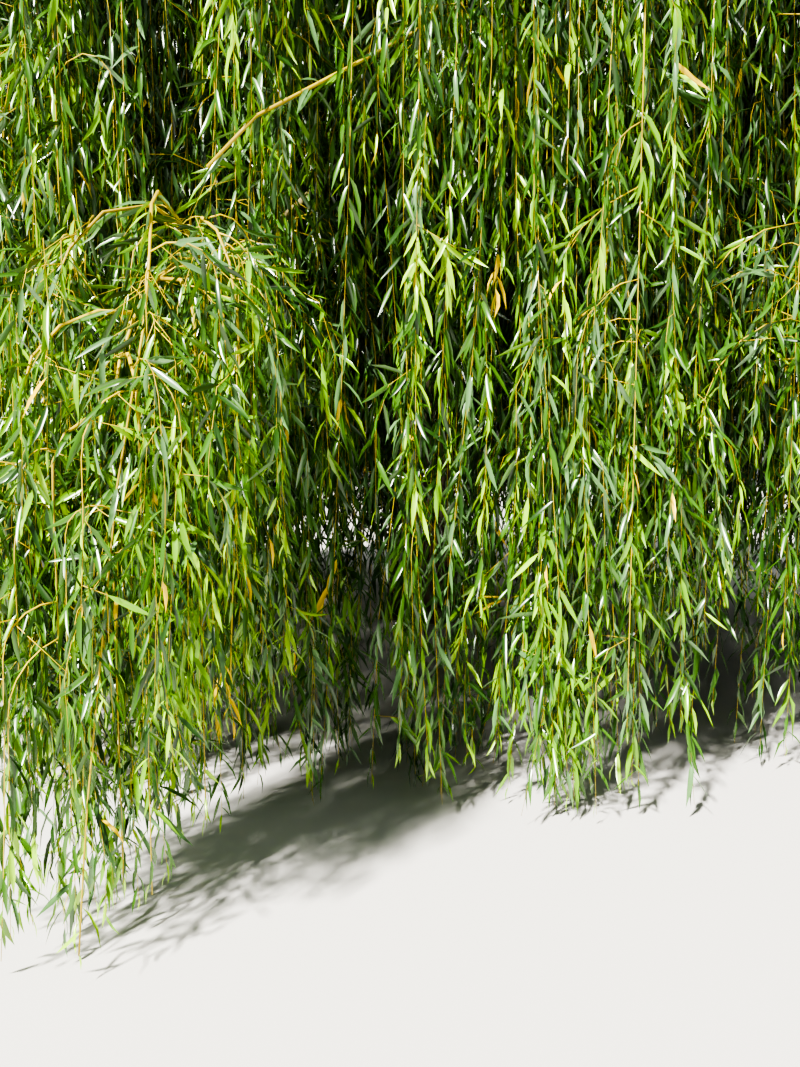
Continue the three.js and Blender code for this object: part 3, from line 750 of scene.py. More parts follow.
def grow_shoots(space, bough, rule, seed):
    """The stem that goes on from its bough's tip, and the ribs that leave it, each with its thickness."""
    draw = seeded(seed)
    rule = {**rule, "lowest": LEAF_ROOM * SOLID_LEAF * rule["leaf"]}
    start, aim = spot_on(bough, 1.0)
    start = start + aim * SEAT_GAP
    azimuth, lift = float(azimuth_of(aim)), math.degrees(math.asin(aim[2]))
    end = float(space["low"](start)) + rule["lowest"]
    stem = {"azimuth": azimuth, "lift": lift, "bend": rule["bend"], "end": end}
    stem["upright"] = rule.get("upright", 0)
    route = weep(space, start, stem)
    while route is None:
        stem["bend"] *= SHORTER
        route = weep(space, start, stem)
    taken = [evenly(route)]
    grown = [(start, stem, limbs[bough]["tip"], STEM_TIP)]
    for rib in range(rule["ribs"]):
        part = rib / (rule["ribs"] - 1)
        if "spiral" in rule:
            side = rule["spiral"] * rib
        else:
            first, last = rule["turn"]
            side = (-1 if rib % 2 else 1) * (first + (last - first) * part)
        share = rule["from"] + (rule["to"] - rule["from"]) * part
        place = at_lengths(route, (stem["upright"] + stem["bend"]) * share)
        shoot = grow_rib(space, rule, azimuth + side, place, taken, draw)
        if shoot:
            grown.append((place, shoot, RIB_BASE, RIB_TIP))
    made = []
    for place, shoot, thick, thin in grown:
        shoot["end"] -= LEAF_ROOM_USED * rule["lowest"]
        smooth = weep(space, place, shoot, SMOOTH_STEPS, checked=False)
        made.append({"route": smooth, "thick": thick, "thin": thin, "azimuth": shoot["azimuth"]})
    return made


CANDIDATES = 14
TWIG_CANDIDATES = 1.5
TWIGS_UNTIL = 0.97
REACH_POWER = 1.3
RAGGED_POWER = 2.2
LEAN = 0.1
LEAN_POWER = 1.5
WAVE = 0.045
WAVE_TURN = 70
WAVE_PHASES = 6.28
WAVE_LENGTH = 5.2
LONGEST_WAVE = 2
STRAND_CLEARANCE = 0.02
CROWDING_SPREAD = 1.6
LAST_CHOICE = 100
TRESS_SCALE = 2.1
TRESS_PATTERN = 7.3
TRESS_GAP = 0.01
TRESS_DEPTH = 0.6


def resampled(route, count, first=0.0, last=1.0):
    length = lengths_along(route)[-1]
    return at_lengths(route, np.linspace(first, last, count) * length)


def hang(space, parents, tries, plan, rng, until=1.0):
    """Shoots that leave their parents all along, bend over and hang. The parents are routes with the same
    number of points."""
    origin = rng.integers(0, len(parents), tries)
    part = rng.random(tries) * until * (parents.shape[1] - 1.001)
    step = part.astype(int)
    share = (part - step)[:, None]
    start = parents[origin, step] * (1 - share) + parents[origin, step + 1] * share
    azimuth = rng.random(tries) * 360
    lift = plan["lift"][0] + (plan["lift"][1] - plan["lift"][0]) * rng.random(tries)
    bend = plan["reach"][0] + (plan["reach"][1] - plan["reach"][0]) * rng.random(tries) ** REACH_POWER
    points, bends = plan["points"], plan["points"] // 2
    route = [start]
    for turn in range(bends):
        slope = lift - (lift + 90) * (turn + 0.5) / bends
        route.append(route[-1] + direction(azimuth, slope) * (bend / bends)[:, None])
    low = space["low"](route[-1]) + plan["ragged"] * rng.random(tries) ** RAGGED_POWER
    low = np.maximum(LOWEST_TIP, low - plan["dip"])
    drop = plan["drop"][1] * (0.5 + 0.5 * rng.random(tries))
    hanging = np.minimum(route[-1][:, 2] - low, drop)
    lean = direction(rng.random(tries) * 360, 0) * (LEAN * rng.random(tries) * hanging)[:, None]
    phase = rng.random(tries) * WAVE_PHASES
    for turn in range(1, points - bends):
        down = turn / (points - bends - 1)
        wave = WAVE * np.minimum(hanging, LONGEST_WAVE) * np.sin(phase + WAVE_LENGTH * down) * down
        aside = direction(azimuth + WAVE_TURN, 0) * wave[:, None]
        route.append(route[bends] - up * (hanging * down)[:, None] + lean * down**LEAN_POWER + aside)
    return np.stack(route, axis=1), azimuth, hanging > plan["drop"][0]


def in_tress(feet, inward):
    """Whether each foot lies in one of the tresses that the outer shoots hang in, or behind them."""
    thick = [noise.noise(Vector((x * TRESS_SCALE, y * TRESS_SCALE, TRESS_PATTERN))) for x, y in feet[:, :2]]
    return (np.array(thick) > TRESS_GAP) | (inward > TRESS_DEPTH)


def hang_strands(space, parents, plan, rng):
    """The long shoots of a mass, spread over its space, and closest together near the crown's outside."""
    route, heading, long = hang(space, parents, CANDIDATES * plan["count"], plan, rng)
    long &= space["holds"](route[:, 2:], SPILL).sum(axis=1) >= plan["points"] - 3
    long &= ~space["outside"](route).any(axis=1)
    route, heading = route[long], heading[long]
    clear = beside_limbs(route[:, 2:], STRAND_CLEARANCE).all(axis=1)
    route, heading = route[clear], heading[clear]
    foot = route[:, plan["points"] // 2]
    _, cell = np.unique(np.floor(foot[:, :2] / plan["spread"]).astype(int), axis=0, return_inverse=True)
    cell = cell.ravel()
    order = np.argsort(cell, kind="stable")
    rank = np.empty(len(cell))
    rank[order] = np.arange(len(cell)) - np.searchsorted(cell[order], cell[order])
    inward = np.clip(crown_radius(foot[:, 2], azimuth_of(foot)) - radius_of(foot), 0, 2)
    crowding = (rank + CROWDING_SPREAD * rng.random(len(rank))) * (1 + plan["shell"] * inward)
    if plan["tresses"]:
        crowding[~in_tress(foot, inward)] += LAST_CHOICE
    chosen = np.argsort(crowding)[: plan["count"]]
    return route[chosen], heading[chosen]


def side_twigs(space, strands, plan, rng):
    """The short twigs that leave the strands."""
    route, heading, long = hang(space, strands, int(TWIG_CANDIDATES * plan["count"]), plan, rng, TWIGS_UNTIL)
    long &= space["holds"](route[:, 1:], SPILL).all(axis=1)
    return route[long][: plan["count"]], heading[long][: plan["count"]]


def mesh_of(name, spots, corners, sizes):
    """A piece from arrays: its points, its faces' corners in a row, and each face's number of corners."""
    mesh = bpy.data.meshes.new(name)
    mesh.vertices.add(len(spots))
    mesh.vertices.foreach_set("co", spots.astype(np.float32).ravel())
    mesh.loops.add(len(corners))
    mesh.loops.foreach_set("vertex_index", corners.astype(np.int32))
    mesh.polygons.add(len(sizes))
    mesh.polygons.foreach_set("loop_start", np.concatenate([[0], np.cumsum(sizes)[:-1]]).astype(np.int32))
    mesh.polygons.foreach_set("use_smooth", np.ones(len(sizes), bool))
    mesh.update(calc_edges=True)
    mesh.validate()
    piece = bpy.data.objects.new(name, mesh)
    bpy.context.scene.collection.objects.link(piece)
    return piece


def unit_rows(vectors):
    """The vectors at length 1, or as they are where they are nothing."""
    return vectors / np.maximum(np.linalg.norm(vectors, axis=-1, keepdims=True), SHORTEST)


def twig_parts(routes, headings, thick, thin, sides=3, power=1.0):
    """The points and faces of tapering twigs along routes that have the same number of points."""
    count, rings = routes.shape[:2]
    tangents = unit_rows(np.gradient(routes, axis=1))
    across = np.repeat(direction(headings + 90, 0)[:, None], rings, axis=1)
    across = unit_rows(across - tangents * (across * tangents).sum(axis=2, keepdims=True))
    out = np.cross(across, tangents)
    taper = (1 - np.linspace(0, 1, rings)) ** power
    radius = thin[:, None] + (thick - thin)[:, None] * taper
    around = 2 * np.pi * np.arange(sides) / sides
    ring = across[:, :, None] * np.cos(around)[:, None] + out[:, :, None] * np.sin(around)[:, None]
    spots = routes[:, :, None] + ring * radius[:, :, None, None]
    first = np.arange(count)[:, None, None] * rings * sides + np.arange(rings - 1)[:, None] * sides
    here = first + np.arange(sides)
    beside = first + (np.arange(sides) + 1) % sides
    quads = np.stack([here, here + sides, beside + sides, beside], axis=-1).reshape(-1)
    base = (np.arange(count) * rings * sides)[:, None]
    foot, head = base + np.arange(sides), base + (rings - 1) * sides + np.arange(sides)[::-1]
    caps = np.concatenate([foot, head], axis=1)
    corners = np.concatenate([quads, caps.reshape(-1)])
    sizes = np.concatenate([np.full(len(quads) // 4, 4), np.full(2 * count, sides)])
    return spots.reshape(-1, 3), corners, sizes


def piece_of(name, parts):
    """One piece from several lots of points and faces."""
    spots = np.concatenate([lot[0] for lot in parts])
    shifts = np.cumsum([0] + [len(lot[0]) for lot in parts[:-1]])
    corners = np.concatenate([lot[1] + shift for lot, shift in zip(parts, shifts)])
    return mesh_of(name, spots, corners, np.concatenate([lot[2] for lot in parts]))


LEAFLESS = 0.03
LEAF_JITTER = 0.7
LEAF_STEP_TURN = 137.5
LEAF_TURN_SPREAD = 50
LEAF_SPLAY = (16, 66)
SPLAY_POWER = 1.4
LEAF_DROOP = 0.45
LEAF_ROLL = 75
YOUNG_LENGTH = 0.16
LEAF_SIZES = (0.6, 0.55)
LEAF_CURVE = (0.04, 0.36)
LEAF_TWIST = 0.42
LEAF_FOLD = 0.5
LEAF_WIDEST = 0.42
LEAF_CLEARANCE = 0.02
LEAF_STATIONS = {4: [(0.4, 1.0)], 8: [(0.24, 0.84), (0.6, 0.86)]}


def leaves_on(routes, spacing, length, rng):
    """The leaves that alternate up each route: where each is rooted, its three directions and its length."""
    strides = np.linalg.norm(np.diff(routes, axis=1), axis=2)
    reached = np.concatenate([np.zeros((len(routes), 1)), np.cumsum(strides, axis=1)], axis=1)
    total = reached[:, -1]
    counts = np.maximum(1, ((total * (1 - LEAFLESS)) / spacing).astype(int))
    route = np.repeat(np.arange(len(routes)), counts)
    order = np.arange(len(route)) - np.repeat(np.cumsum(counts) - counts, counts)
    at = total[route] - spacing * (order + LEAF_JITTER * rng.random(len(route)))
    step = np.clip((reached[route] <= at[:, None]).sum(axis=1) - 1, 0, routes.shape[1] - 2)
    gap = np.maximum(strides[route, step], SHORTEST)
    share = np.clip((at - reached[route, step]) / gap, 0, 1)[:, None]
    root = routes[route, step] * (1 - share) + routes[route, step + 1] * share
    tangent = (routes[route, step + 1] - routes[route, step]) / gap[:, None]
    turn = rng.random(len(routes))[route] * 360 + LEAF_STEP_TURN * order
    turn += LEAF_TURN_SPREAD * (rng.random(len(route)) - 0.5)
    away = direction(turn, 0)
    away = unit_rows(away - tangent * (away * tangent).sum(axis=1, keepdims=True))
    splay = LEAF_SPLAY[0] + (LEAF_SPLAY[1] - LEAF_SPLAY[0]) * rng.random(len(route)) ** SPLAY_POWER
    open_by = np.radians(splay)[:, None]
    along = tangent * np.cos(open_by) + away * np.sin(open_by)
    along[:, 2] -= LEAF_DROOP * rng.random(len(route))
    along = unit_rows(along)
    roll = np.radians(LEAF_ROLL * (rng.random(len(route)) + rng.random(len(route)) - 1))[:, None]
    flat = unit_rows(away - along * (away * along).sum(axis=1, keepdims=True))
    across = np.cross(along, flat)
    flat, across = flat * np.cos(roll) + across * np.sin(roll), across * np.cos(roll) - flat * np.sin(roll)
    from_tip = total[route] - at
    grown = np.minimum(1, 0.5 + 0.5 * from_tip / YOUNG_LENGTH)
    size = length * grown * (LEAF_SIZES[0] + LEAF_SIZES[1] * rng.random(len(route)))
    frame = {"root": root, "along": along, "flat": flat, "across": across}
    return {**frame, "size": size, "route": route, "from_tip": from_tip}


def picked(leaves, which):
    return {name: values[which] for name, values in leaves.items()}


def gathered(lots):
    return {name: np.concatenate([lot[name] for lot in lots]) for name in lots[0]}


def blade_parts(leaves, faces, slender, rng):
    """The points and faces of narrow leaves, folded along the midrib and curved down to the tip."""
    size = leaves["size"][:, None]
    half = size * slender / 2
    curve = size * (LEAF_CURVE[0] + (LEAF_CURVE[1] - LEAF_CURVE[0]) * rng.random(len(size))[:, None])
    twist = size * LEAF_TWIST * (rng.random(len(size))[:, None] - 0.5)
    fold = LEAF_FOLD * half

    def rib(part):
        bow = leaves["flat"] * curve * part**2
        return leaves["root"] + leaves["along"] * size * part - bow + leaves["across"] * twist * part**2

    rows = [leaves["root"]]
    if faces == 2:
        edge = rib(LEAF_WIDEST) + leaves["flat"] * fold
        rows += [edge + leaves["across"] * half, rib(1.0), edge - leaves["across"] * half]
        faces_of = [(0, 1, 2), (0, 2, 3)]
    else:
        for part, wide in LEAF_STATIONS[faces]:
            edge = rib(part) + leaves["flat"] * fold * wide
            rows += [edge + leaves["across"] * half * wide, rib(part), edge - leaves["across"] * half * wide]
        rows.append(rib(1.0))
        tip = len(rows) - 1
        faces_of = [(0, 1, 2), (0, 2, 3), (tip - 3, tip, tip - 2), (tip - 2, tip, tip - 1)]
        for first in range(1, tip - 3, 3):
            faces_of += [(first, first + 3, first + 4), (first, first + 4, first + 1)]
            faces_of += [(first + 1, first + 4, first + 5), (first + 1, first + 5, first + 2)]
    spots = np.stack(rows, axis=1)
    corners = (np.arange(len(size))[:, None, None] * spots.shape[1] + np.array(faces_of)).reshape(-1)
    return spots.reshape(-1, 3), corners, np.full(len(corners) // 3, 3)


TWIG_GOLD = (0.78, 0.6, 0.03)
TWIG_TAN = (0.46, 0.34, 0.03)
RIB_OLIVE = (0.62, 0.48, 0.03)
RIB_BROWN = (0.34, 0.25, 0.03)
YOUNG_SHINE = 0.4
YOUNG_ROUGHNESS = 0.55
SMOOTHEST = 0.42
AGE_SCALE = 1.7
AGE_EDGE = (0.35, 0.62)
AGE_SHARE = 0.75
FLECK_SCALE = 70
FLECK_EDGE = (0.4, 0.75)
FLECK_SHARE = 0.2
FLECK_ROUGHNESS = 0.25
LEAF_SHINE = 0.6
WAX_ROUGHNESS = 0.2
# Each kind of leaf has a colour, a roughness and a share of wax. The deep green is painted shade for leaves
# inside the crown. The light and pale greens are the leaves' own yellow-green and young colours, and they
# also serve as painted light for sunlit leaves near the outside.
LEAVES = {
    "green": ((0.058, 0.156, 0.014), 0.27, 0.45),
    "light": ((0.165, 0.36, 0.012), 0.28, 0.4),
    "silver": ((0.115, 0.235, 0.08), 0.28, 0.8),
    "pale": ((0.36, 0.64, 0.02), 0.3, 0.4),
    "deep": ((0.022, 0.068, 0.009), 0.3, 0.4),
    "yellow": ((0.85, 0.6, 0.01), 0.45, 0.1),
}


def young_bark(name, bright, dull):
    """Smooth young bark, golden where it is new and tan where it is older."""
    finish = Finish(name, YOUNG_ROUGHNESS, YOUNG_SHINE)
    age = finish.steep(finish.noise(AGE_SCALE, 2), *AGE_EDGE)
    fleck = finish.steep(finish.noise(FLECK_SCALE, 2), *FLECK_EDGE)
    finish.set("Base Color", finish.mix(age * AGE_SHARE + fleck * FLECK_SHARE, bright, dull))
    finish.set("Roughness", SMOOTHEST + fleck * FLECK_ROUGHNESS)
    return finish


def leaf_finish(name, colour, roughness, wax):
    """A leaf of one colour, with the wax that gives it a paler shine in the sun."""
    finish = Finish(name, roughness, LEAF_SHINE)
    finish.set("Base Color", colour)
    finish.set("Coat Weight", wax)
    finish.set("Coat Roughness", WAX_ROUGHNESS)
    return finish


leaf_finishes = {colour: leaf_finish(f"leaf_{colour}", *looks) for colour, looks in LEAVES.items()}
twig_finish = young_bark("twig_finish", TWIG_GOLD, TWIG_TAN)
rib_finish = young_bark("rib_finish", RIB_OLIVE, RIB_BROWN)
# Near the crown's outside more light and pale leaves are dealt, as painted light; deep inside mostly deep
# green ones, as painted shade
OUTER_PAINTED_LIGHT_SHARES = {"green": 0.46, "light": 0.2, "silver": 0.15, "pale": 0.08, "deep": 0.11, "yellow": 0.002}
INNER_PAINTED_SHADE_SHARES = {"green": 0.36, "light": 0.05, "silver": 0.07, "pale": 0.0, "deep": 0.52, "yellow": 0.001}
SHADE_DEPTH = 0.8
TENDER_TIP = 0.07
TENDER_SHARE = 0.7
TURNED_SHARE = 0.004
SPRAYS_APART = 1000
ROUTES_APART = 10000
MASSES_APART = 100000


def deal_colours(leaves, shade, spray, rng):
    """A colour for each leaf, dealt to sprays of a few leaves that follow one another on a shoot. The darker
    ones go to the sprays deeper in the crown, as painted shade, and the paler ones to those near its outside,
    as painted light."""
    names = list(OUTER_PAINTED_LIGHT_SHARES)
    block = leaves["route"] * SPRAYS_APART + (leaves["from_tip"] / spray).astype(int)
    _, number = np.unique(block, return_inverse=True)
    number = number.ravel()
    depth = np.bincount(number, shade) / np.bincount(number)
    outer = np.array([OUTER_PAINTED_LIGHT_SHARES[name] for name in names])
    inner = np.array([INNER_PAINTED_SHADE_SHARES[name] for name in names])
    # Each spray's shares blend from the painted light outside to the painted shade inside, by its depth
    shares = outer / outer.sum() * (1 - depth[:, None]) + inner / inner.sum() * depth[:, None]
    dealt = (np.cumsum(shares, axis=1) < rng.random(len(depth))[:, None]).sum(axis=1)
    return np.array(names)[np.minimum(dealt, len(names) - 1)[number]]


def tips_of(leaves):
    return leaves["root"] + leaves["along"] * leaves["size"][:, None]


def above_ground(leaves):
    """Whether each leaf, with its curve and its twist, ends above the ground."""
    sag = LEAF_CURVE[1] * np.abs(leaves["flat"][:, 2]) + LEAF_TWIST / 2 * np.abs(leaves["across"][:, 2])
    return tips_of(leaves)[:, 2] > LEAF_CLEARANCE + sag * leaves["size"]


PARENT_POINTS = 40
PARENT_FROM, PARENT_UNTIL = 0.02, 0.75
RIB_POINTS = 14
RIB_SIDES = 5
RIB_TAPER = 3
GAUGE_SPREAD = (0.8, 0.4)
STRAND_TIP = 0.3
TWIG_BASE, TWIG_TIP = 0.5, 0.22
LEAF_SPILL = 1.3


def grow_mass(space, shoots, limb_parents, plan, rng):
    """The twigs and leaves of one mass: strands from its stem, ribs and bough, and twigs from the strands."""
    until = plan.get("until", PARENT_UNTIL)
    parents = [resampled(shoot["route"], PARENT_POINTS, PARENT_FROM, until) for shoot in shoots]
    strands, headings = hang_strands(space, np.stack(parents + limb_parents), plan["strands"], rng)
    sides, side_headings = side_twigs(space, strands, plan["twigs"], rng)
    main = np.stack([resampled(shoot["route"], RIB_POINTS) for shoot in shoots])
    main_headings = np.array([shoot["azimuth"] for shoot in shoots])
    thick, thin = (np.array([shoot[key] for shoot in shoots]) for key in ("thick", "thin"))
    gauge = plan["gauge"] * (GAUGE_SPREAD[0] + GAUGE_SPREAD[1] * rng.random(len(strands)))
    side_gauge = np.full(len(sides), plan["gauge"])
    ribs = twig_parts(main, main_headings, thick, thin, RIB_SIDES, RIB_TAPER)
    twigs = [
        twig_parts(strands, headings, gauge, STRAND_TIP * gauge),
        twig_parts(sides, side_headings, TWIG_BASE * side_gauge, TWIG_TIP * side_gauge),
    ]
    lots = []
    for number, routes in enumerate((main, strands, sides)):
        bare = plan.get("bare", 1) if routes is main else 1
        lot = leaves_on(routes, bare * plan["spacing"], plan["leaf"], rng)
        lot["route"] = lot["route"] + ROUTES_APART * number
        lots.append(lot)
    leaves = gathered(lots)
    tips, lifted = tips_of(leaves), tips_of(leaves) + up * plan["strands"]["dip"]
    held = space["holds"](tips, LEAF_SPILL * SPILL) | space["holds"](lifted, LEAF_SPILL * SPILL)
    return ribs, twigs, picked(leaves, held)


def outer_limb(name, first):
    """The outer stretch of a limb, as a route that shoots can leave."""
    return along_curve(limbs[name]["curve"], np.linspace(first, 1, PARENT_POINTS))[0]


def add_foliage(name, masses, nodes, slender, faces, spray, rng):
    """The pieces of several masses together: their ribs, their twigs, and the leaves of each colour. The
    faces are how many a leaf has at its place, and the spray is the length of shoot that shares a colour."""
    ribs = [mass[0] for mass in masses]
    twigs = [lot for mass in masses for lot in mass[1]]
    for number, mass in enumerate(masses):
        mass[2]["route"] = mass[2]["route"] + MASSES_APART * number
    leaves = gathered([mass[2] for mass in masses])
    leaves = picked(leaves, above_ground(leaves))
    pieces = [(rib_finish.on(piece_of(f"{name}_ribs", ribs)), "bough_bark")]
    pieces.append((twig_finish.on(piece_of(f"{name}_twigs", twigs)), "bough_bark"))
    # How deep each leaf lies inside the crown sets its painted shade
    inward = crown_radius(leaves["root"][:, 2], azimuth_of(leaves["root"])) - radius_of(leaves["root"])
    shade = np.clip(inward / SHADE_DEPTH, 0, 1)
    colours = deal_colours(leaves, shade, spray, rng)
    # Young leaves at the shoot tips turn pale, their own colour, but mostly near the crown's outside, where
    # the paleness is also painted light
    tender = (leaves["from_tip"] < TENDER_TIP) & (rng.random(len(colours)) < TENDER_SHARE * (1 - shade))
    colours = np.where(tender, "pale", colours)
    colours = np.where(rng.random(len(colours)) < TURNED_SHARE, "yellow", colours)
    for colour in OUTER_PAINTED_LIGHT_SHARES:
        lot = picked(leaves, colours == colour)
        fine = faces(lot["root"])
        parts = []
        for count in (2, 4, 8):
            if (fine == count).any():
                parts.append(blade_parts(picked(lot, fine == count), count, slender, rng))
        if parts:
            pieces.append((leaf_finishes[colour].on(piece_of(f"{name}_leaves_{colour}", parts)), "foliage"))
    for piece, slot in pieces:
        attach(piece, "root")
        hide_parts(*nodes)


# How far and how steeply the shoots of each size leave, bend and hang, how many there are, and their leaves
FRONT_PLAN = {
    "strands": {
        "count": 250, "reach": (0.15, 1.25), "lift": (-20, 50), "ragged": 1.0, "dip": 0.42,
        "drop": (0.5, 6.5), "points": 10, "spread": 0.16, "shell": 0.6, "tresses": True,
    },
    "twigs": {
        "count": 1050, "reach": (0.1, 0.52), "lift": (-45, 40), "ragged": 0.5, "dip": 0.1,
        "drop": (0.05, 0.6), "points": 4,
    },
    "gauge": 0.0031, "spacing": 0.038, "leaf": 0.17,
}
SPRAY_PLAN = {
    "strands": {
        "count": 62, "reach": (0.08, 0.42), "lift": (-20, 55), "ragged": 0.9, "dip": 0,
        "drop": (0.4, 3), "points": 10, "spread": 0.12, "shell": 0, "tresses": False,
    },
    "twigs": {**FRONT_PLAN["twigs"], "count": 320},
    "gauge": 0.0031, "spacing": 0.034, "leaf": 0.142, "bare": 2,
}
FRONT_SHARES = {0: 1.0, 11: 0.85, 1: 0.65}
FRONT_SLENDER = 0.135
FRONT_SPRAY = 0.22
CURTAIN_LIMB_FROM = 0.75
FRONT_LIMB_FROM = 0.45
SPRAY_LIMB_FROM = 0.72
CAMERA_PLACE = (-0.3, -8.2, 1.55)
VIEW_HALF_WIDTH = 0.53
VIEW_HALF_HEIGHT = 0.56
VIEW_MARGIN = 0.15
NEAR_VIEW, FAR_VIEW = 3.75, 5.2
UNSEEN_KEPT, UNSEEN_SIZE = 0.42, 1.5
# One tan limb and three golden shoots are placed where the photograph shows them
SHOWN_LIMB = [
    (-0.03, -3.13, 5.48), (0.05, -3.75, 4.95), (0.0, -4.2, 4.15), (-0.12, -4.5, 3.5), (-0.45, -4.72, 3.22),
    (-0.87, -4.9, 2.92), (-1.05, -4.97, 2.7),
]
SHOWN_LIMB_THICK, SHOWN_LIMB_THIN = 0.026, 0.008
GOLDEN_FROM = 0.985
GOLDEN_THICK, GOLDEN_THIN = 0.0095, 0.0028
GOLDEN_SHOOTS = [
    [(-1.10, -5.25, 2.43), (-1.11, -5.48, 2.46), (-1.06, -5.68, 2.32), (-1.04, -5.8, 2.02),
     (-1.12, -5.87, 1.5), (-1.17, -5.91, 1.0), (-1.22, -5.94, 0.5), (-1.25, -5.95, 0.1)],
    [(-1.08, -5.22, 2.42), (-1.2, -5.35, 2.46), (-1.36, -5.45, 2.36), (-1.45, -5.52, 2.1),
     (-1.48, -5.55, 1.6), (-1.5, -5.57, 1.0), (-1.5, -5.58, 0.6)],
    [(-1.05, -5.2, 2.4), (-0.98, -5.32, 2.42), (-0.88, -5.45, 2.28), (-0.83, -5.5, 2.0),
     (-0.84, -5.55, 1.5), (-0.86, -5.57, 1.05), (-0.87, -5.57, 0.8)],
]


def leaf_faces(spots):
    """8 for the leaves nearest the front, 4 for the others that the front view shows, and 2 for the rest."""
    reach = spots[:, 1] - CAMERA_PLACE[1]
    seen = np.abs(spots[:, 0] - CAMERA_PLACE[0]) < VIEW_HALF_WIDTH * reach + VIEW_MARGIN
    seen &= spots[:, 2] - CAMERA_PLACE[2] < VIEW_HALF_HEIGHT * reach + VIEW_MARGIN
    return np.where(seen & (reach < NEAR_VIEW), 8, np.where(seen & (reach < FAR_VIEW), 4, 2))


def thinned(leaves, rng):
    """Fewer and larger leaves where the front view doesn't show them."""
    unseen = leaf_faces(leaves["root"]) == 2
    leaves["size"] = np.where(unseen, UNSEEN_SIZE * leaves["size"], leaves["size"])
    return picked(leaves, ~unseen | (rng.random(len(unseen)) < UNSEEN_KEPT))


def fewer(plan, share):
    """The plan with a share of its strands and twigs."""
    parts = ("strands", "twigs")
    return {**plan, **{part: {**plan[part], "count": int(plan[part]["count"] * share)} for part in parts}}


rng = np.random.default_rng(LEAF_SEED)
front_masses = []
curtain_boughs = [f"bough_{turn // 2 + 1}_{'left' if turn % 2 else 'right'}" for turn in range(CURTAINS)]
curtain_shoots = []
for turn, bough in enumerate(curtain_boughs):
    seed = CURTAIN_SEED + CURTAIN_SEED_STEP * turn
    curtain_shoots.append(grow_shoots(curtain_space(turn), bough, CURTAIN_RULE, seed))
shown_limb = {"route": np.array(SHOWN_LIMB), "thick": SHOWN_LIMB_THICK, "thin": SHOWN_LIMB_THIN}
curtain_shoots[0].append({**shown_limb, "azimuth": FRONT_AZIMUTH})
for turn, share in FRONT_SHARES.items():
    parents = [outer_limb(curtain_boughs[turn], CURTAIN_LIMB_FROM)]
    if turn == 0:
        parents.append(outer_limb("front_bough", FRONT_LIMB_FROM))
    plan = fewer(FRONT_PLAN, share)
    ribs, twigs, leaves = grow_mass(curtain_space(turn), curtain_shoots[turn], parents, plan, rng)
    front_masses.append((ribs, twigs, thinned(leaves, rng)))
spray_shoots = grow_shoots(spray_space, "front_bough", SPRAY_RULE, SPRAY_SEED)
start, _ = spot_on("front_bough", GOLDEN_FROM)
for spots in GOLDEN_SHOOTS:
    route = np.concatenate([start[None], spots])
    golden_shoot = {"route": route, "thick": GOLDEN_THICK, "thin": GOLDEN_THIN}
    spray_shoots.append({**golden_shoot, "azimuth": SPRAY_AZIMUTH})
pointed_space = {**spray_space, "low": spray_low}
parents = [outer_limb("front_bough", SPRAY_LIMB_FROM)]
front_masses.append(grow_mass(pointed_space, spray_shoots, parents, SPRAY_PLAN, rng))
front_nodes = ["curtain_1", "curtain_2", "curtain_12", "front_spray"]
add_foliage("front", front_masses, front_nodes, FRONT_SLENDER, leaf_faces, FRONT_SPRAY, rng)


# Side and back curtains. The same hanging shoots go on all round the tree, seen from further off, so each
# leaf here is larger than life and stands for a pair or more of real ones.
FAR_PLAN = {
    "strands": {
        "count": 152, "reach": (0.2, 1.4), "lift": (-20, 50), "ragged": 1.1, "dip": 0.17,
        "drop": (0.6, 6.5), "points": 7, "spread": 0.22, "shell": 0.7, "tresses": True,
    },
    "twigs": {
        "count": 300, "reach": (0.1, 0.45), "lift": (-60, 20), "ragged": 0.5, "dip": 0.1,
        "drop": (0.1, 1.0), "points": 3,
    },
    "gauge": 0.0045, "spacing": 0.056, "leaf": 0.235,
}
FAR_SLENDER = 0.13
FAR_SPRAY = 0.4


def two_faces(spots):
    """2 for every leaf that is seen from further off."""
    return np.full(len(spots), 2)


far_masses, far_nodes = [], []
for turn in range(CURTAINS):
    if turn not in FRONT_SHARES:
        parents = [outer_limb(curtain_boughs[turn], CURTAIN_LIMB_FROM)]
        far_masses.append(grow_mass(curtain_space(turn), curtain_shoots[turn], parents, FAR_PLAN, rng))
        far_nodes.append(f"curtain_{turn + 1}")
add_foliage("curtain", far_masses, far_nodes, FAR_SLENDER, two_faces, FAR_SPRAY, rng)


# Shoulders and crown top. Over the curtains the leader's boughs bear a dome of younger shoots, which arch up
# and out before they hang. Their leaves too are larger than life.
SHOULDER_INNER_RADIUS = 1.9
SHOULDER_FLOOR = 5.92
TOP_FLOOR = 6.85
TOP_RIM = 9.1
TOP_RIM_FALL = 0.5
TOP_UPRIGHT = 1.25
SHOULDER_RULE = {
    "bend": 3.1, "ribs": 5, "from": 0.05, "to": 0.8, "turn": (85, 55), "lift": 32, "rib_bend": 2.6,
    "ragged": 0.2, "leaf": 0.75,
}
TOP_RULE = {
    "upright": TOP_UPRIGHT, "bend": 3.9, "ribs": 9, "from": 0.1, "to": 0.55, "spiral": 137.5, "lift": 42,
    "rib_bend": 3.3, "ragged": 0.2, "leaf": 0.75,
}
SHOULDER_SHOOT_SEED, SHOULDER_SHOOT_SEED_STEP = 2203, 29
TOP_SEED = 3307
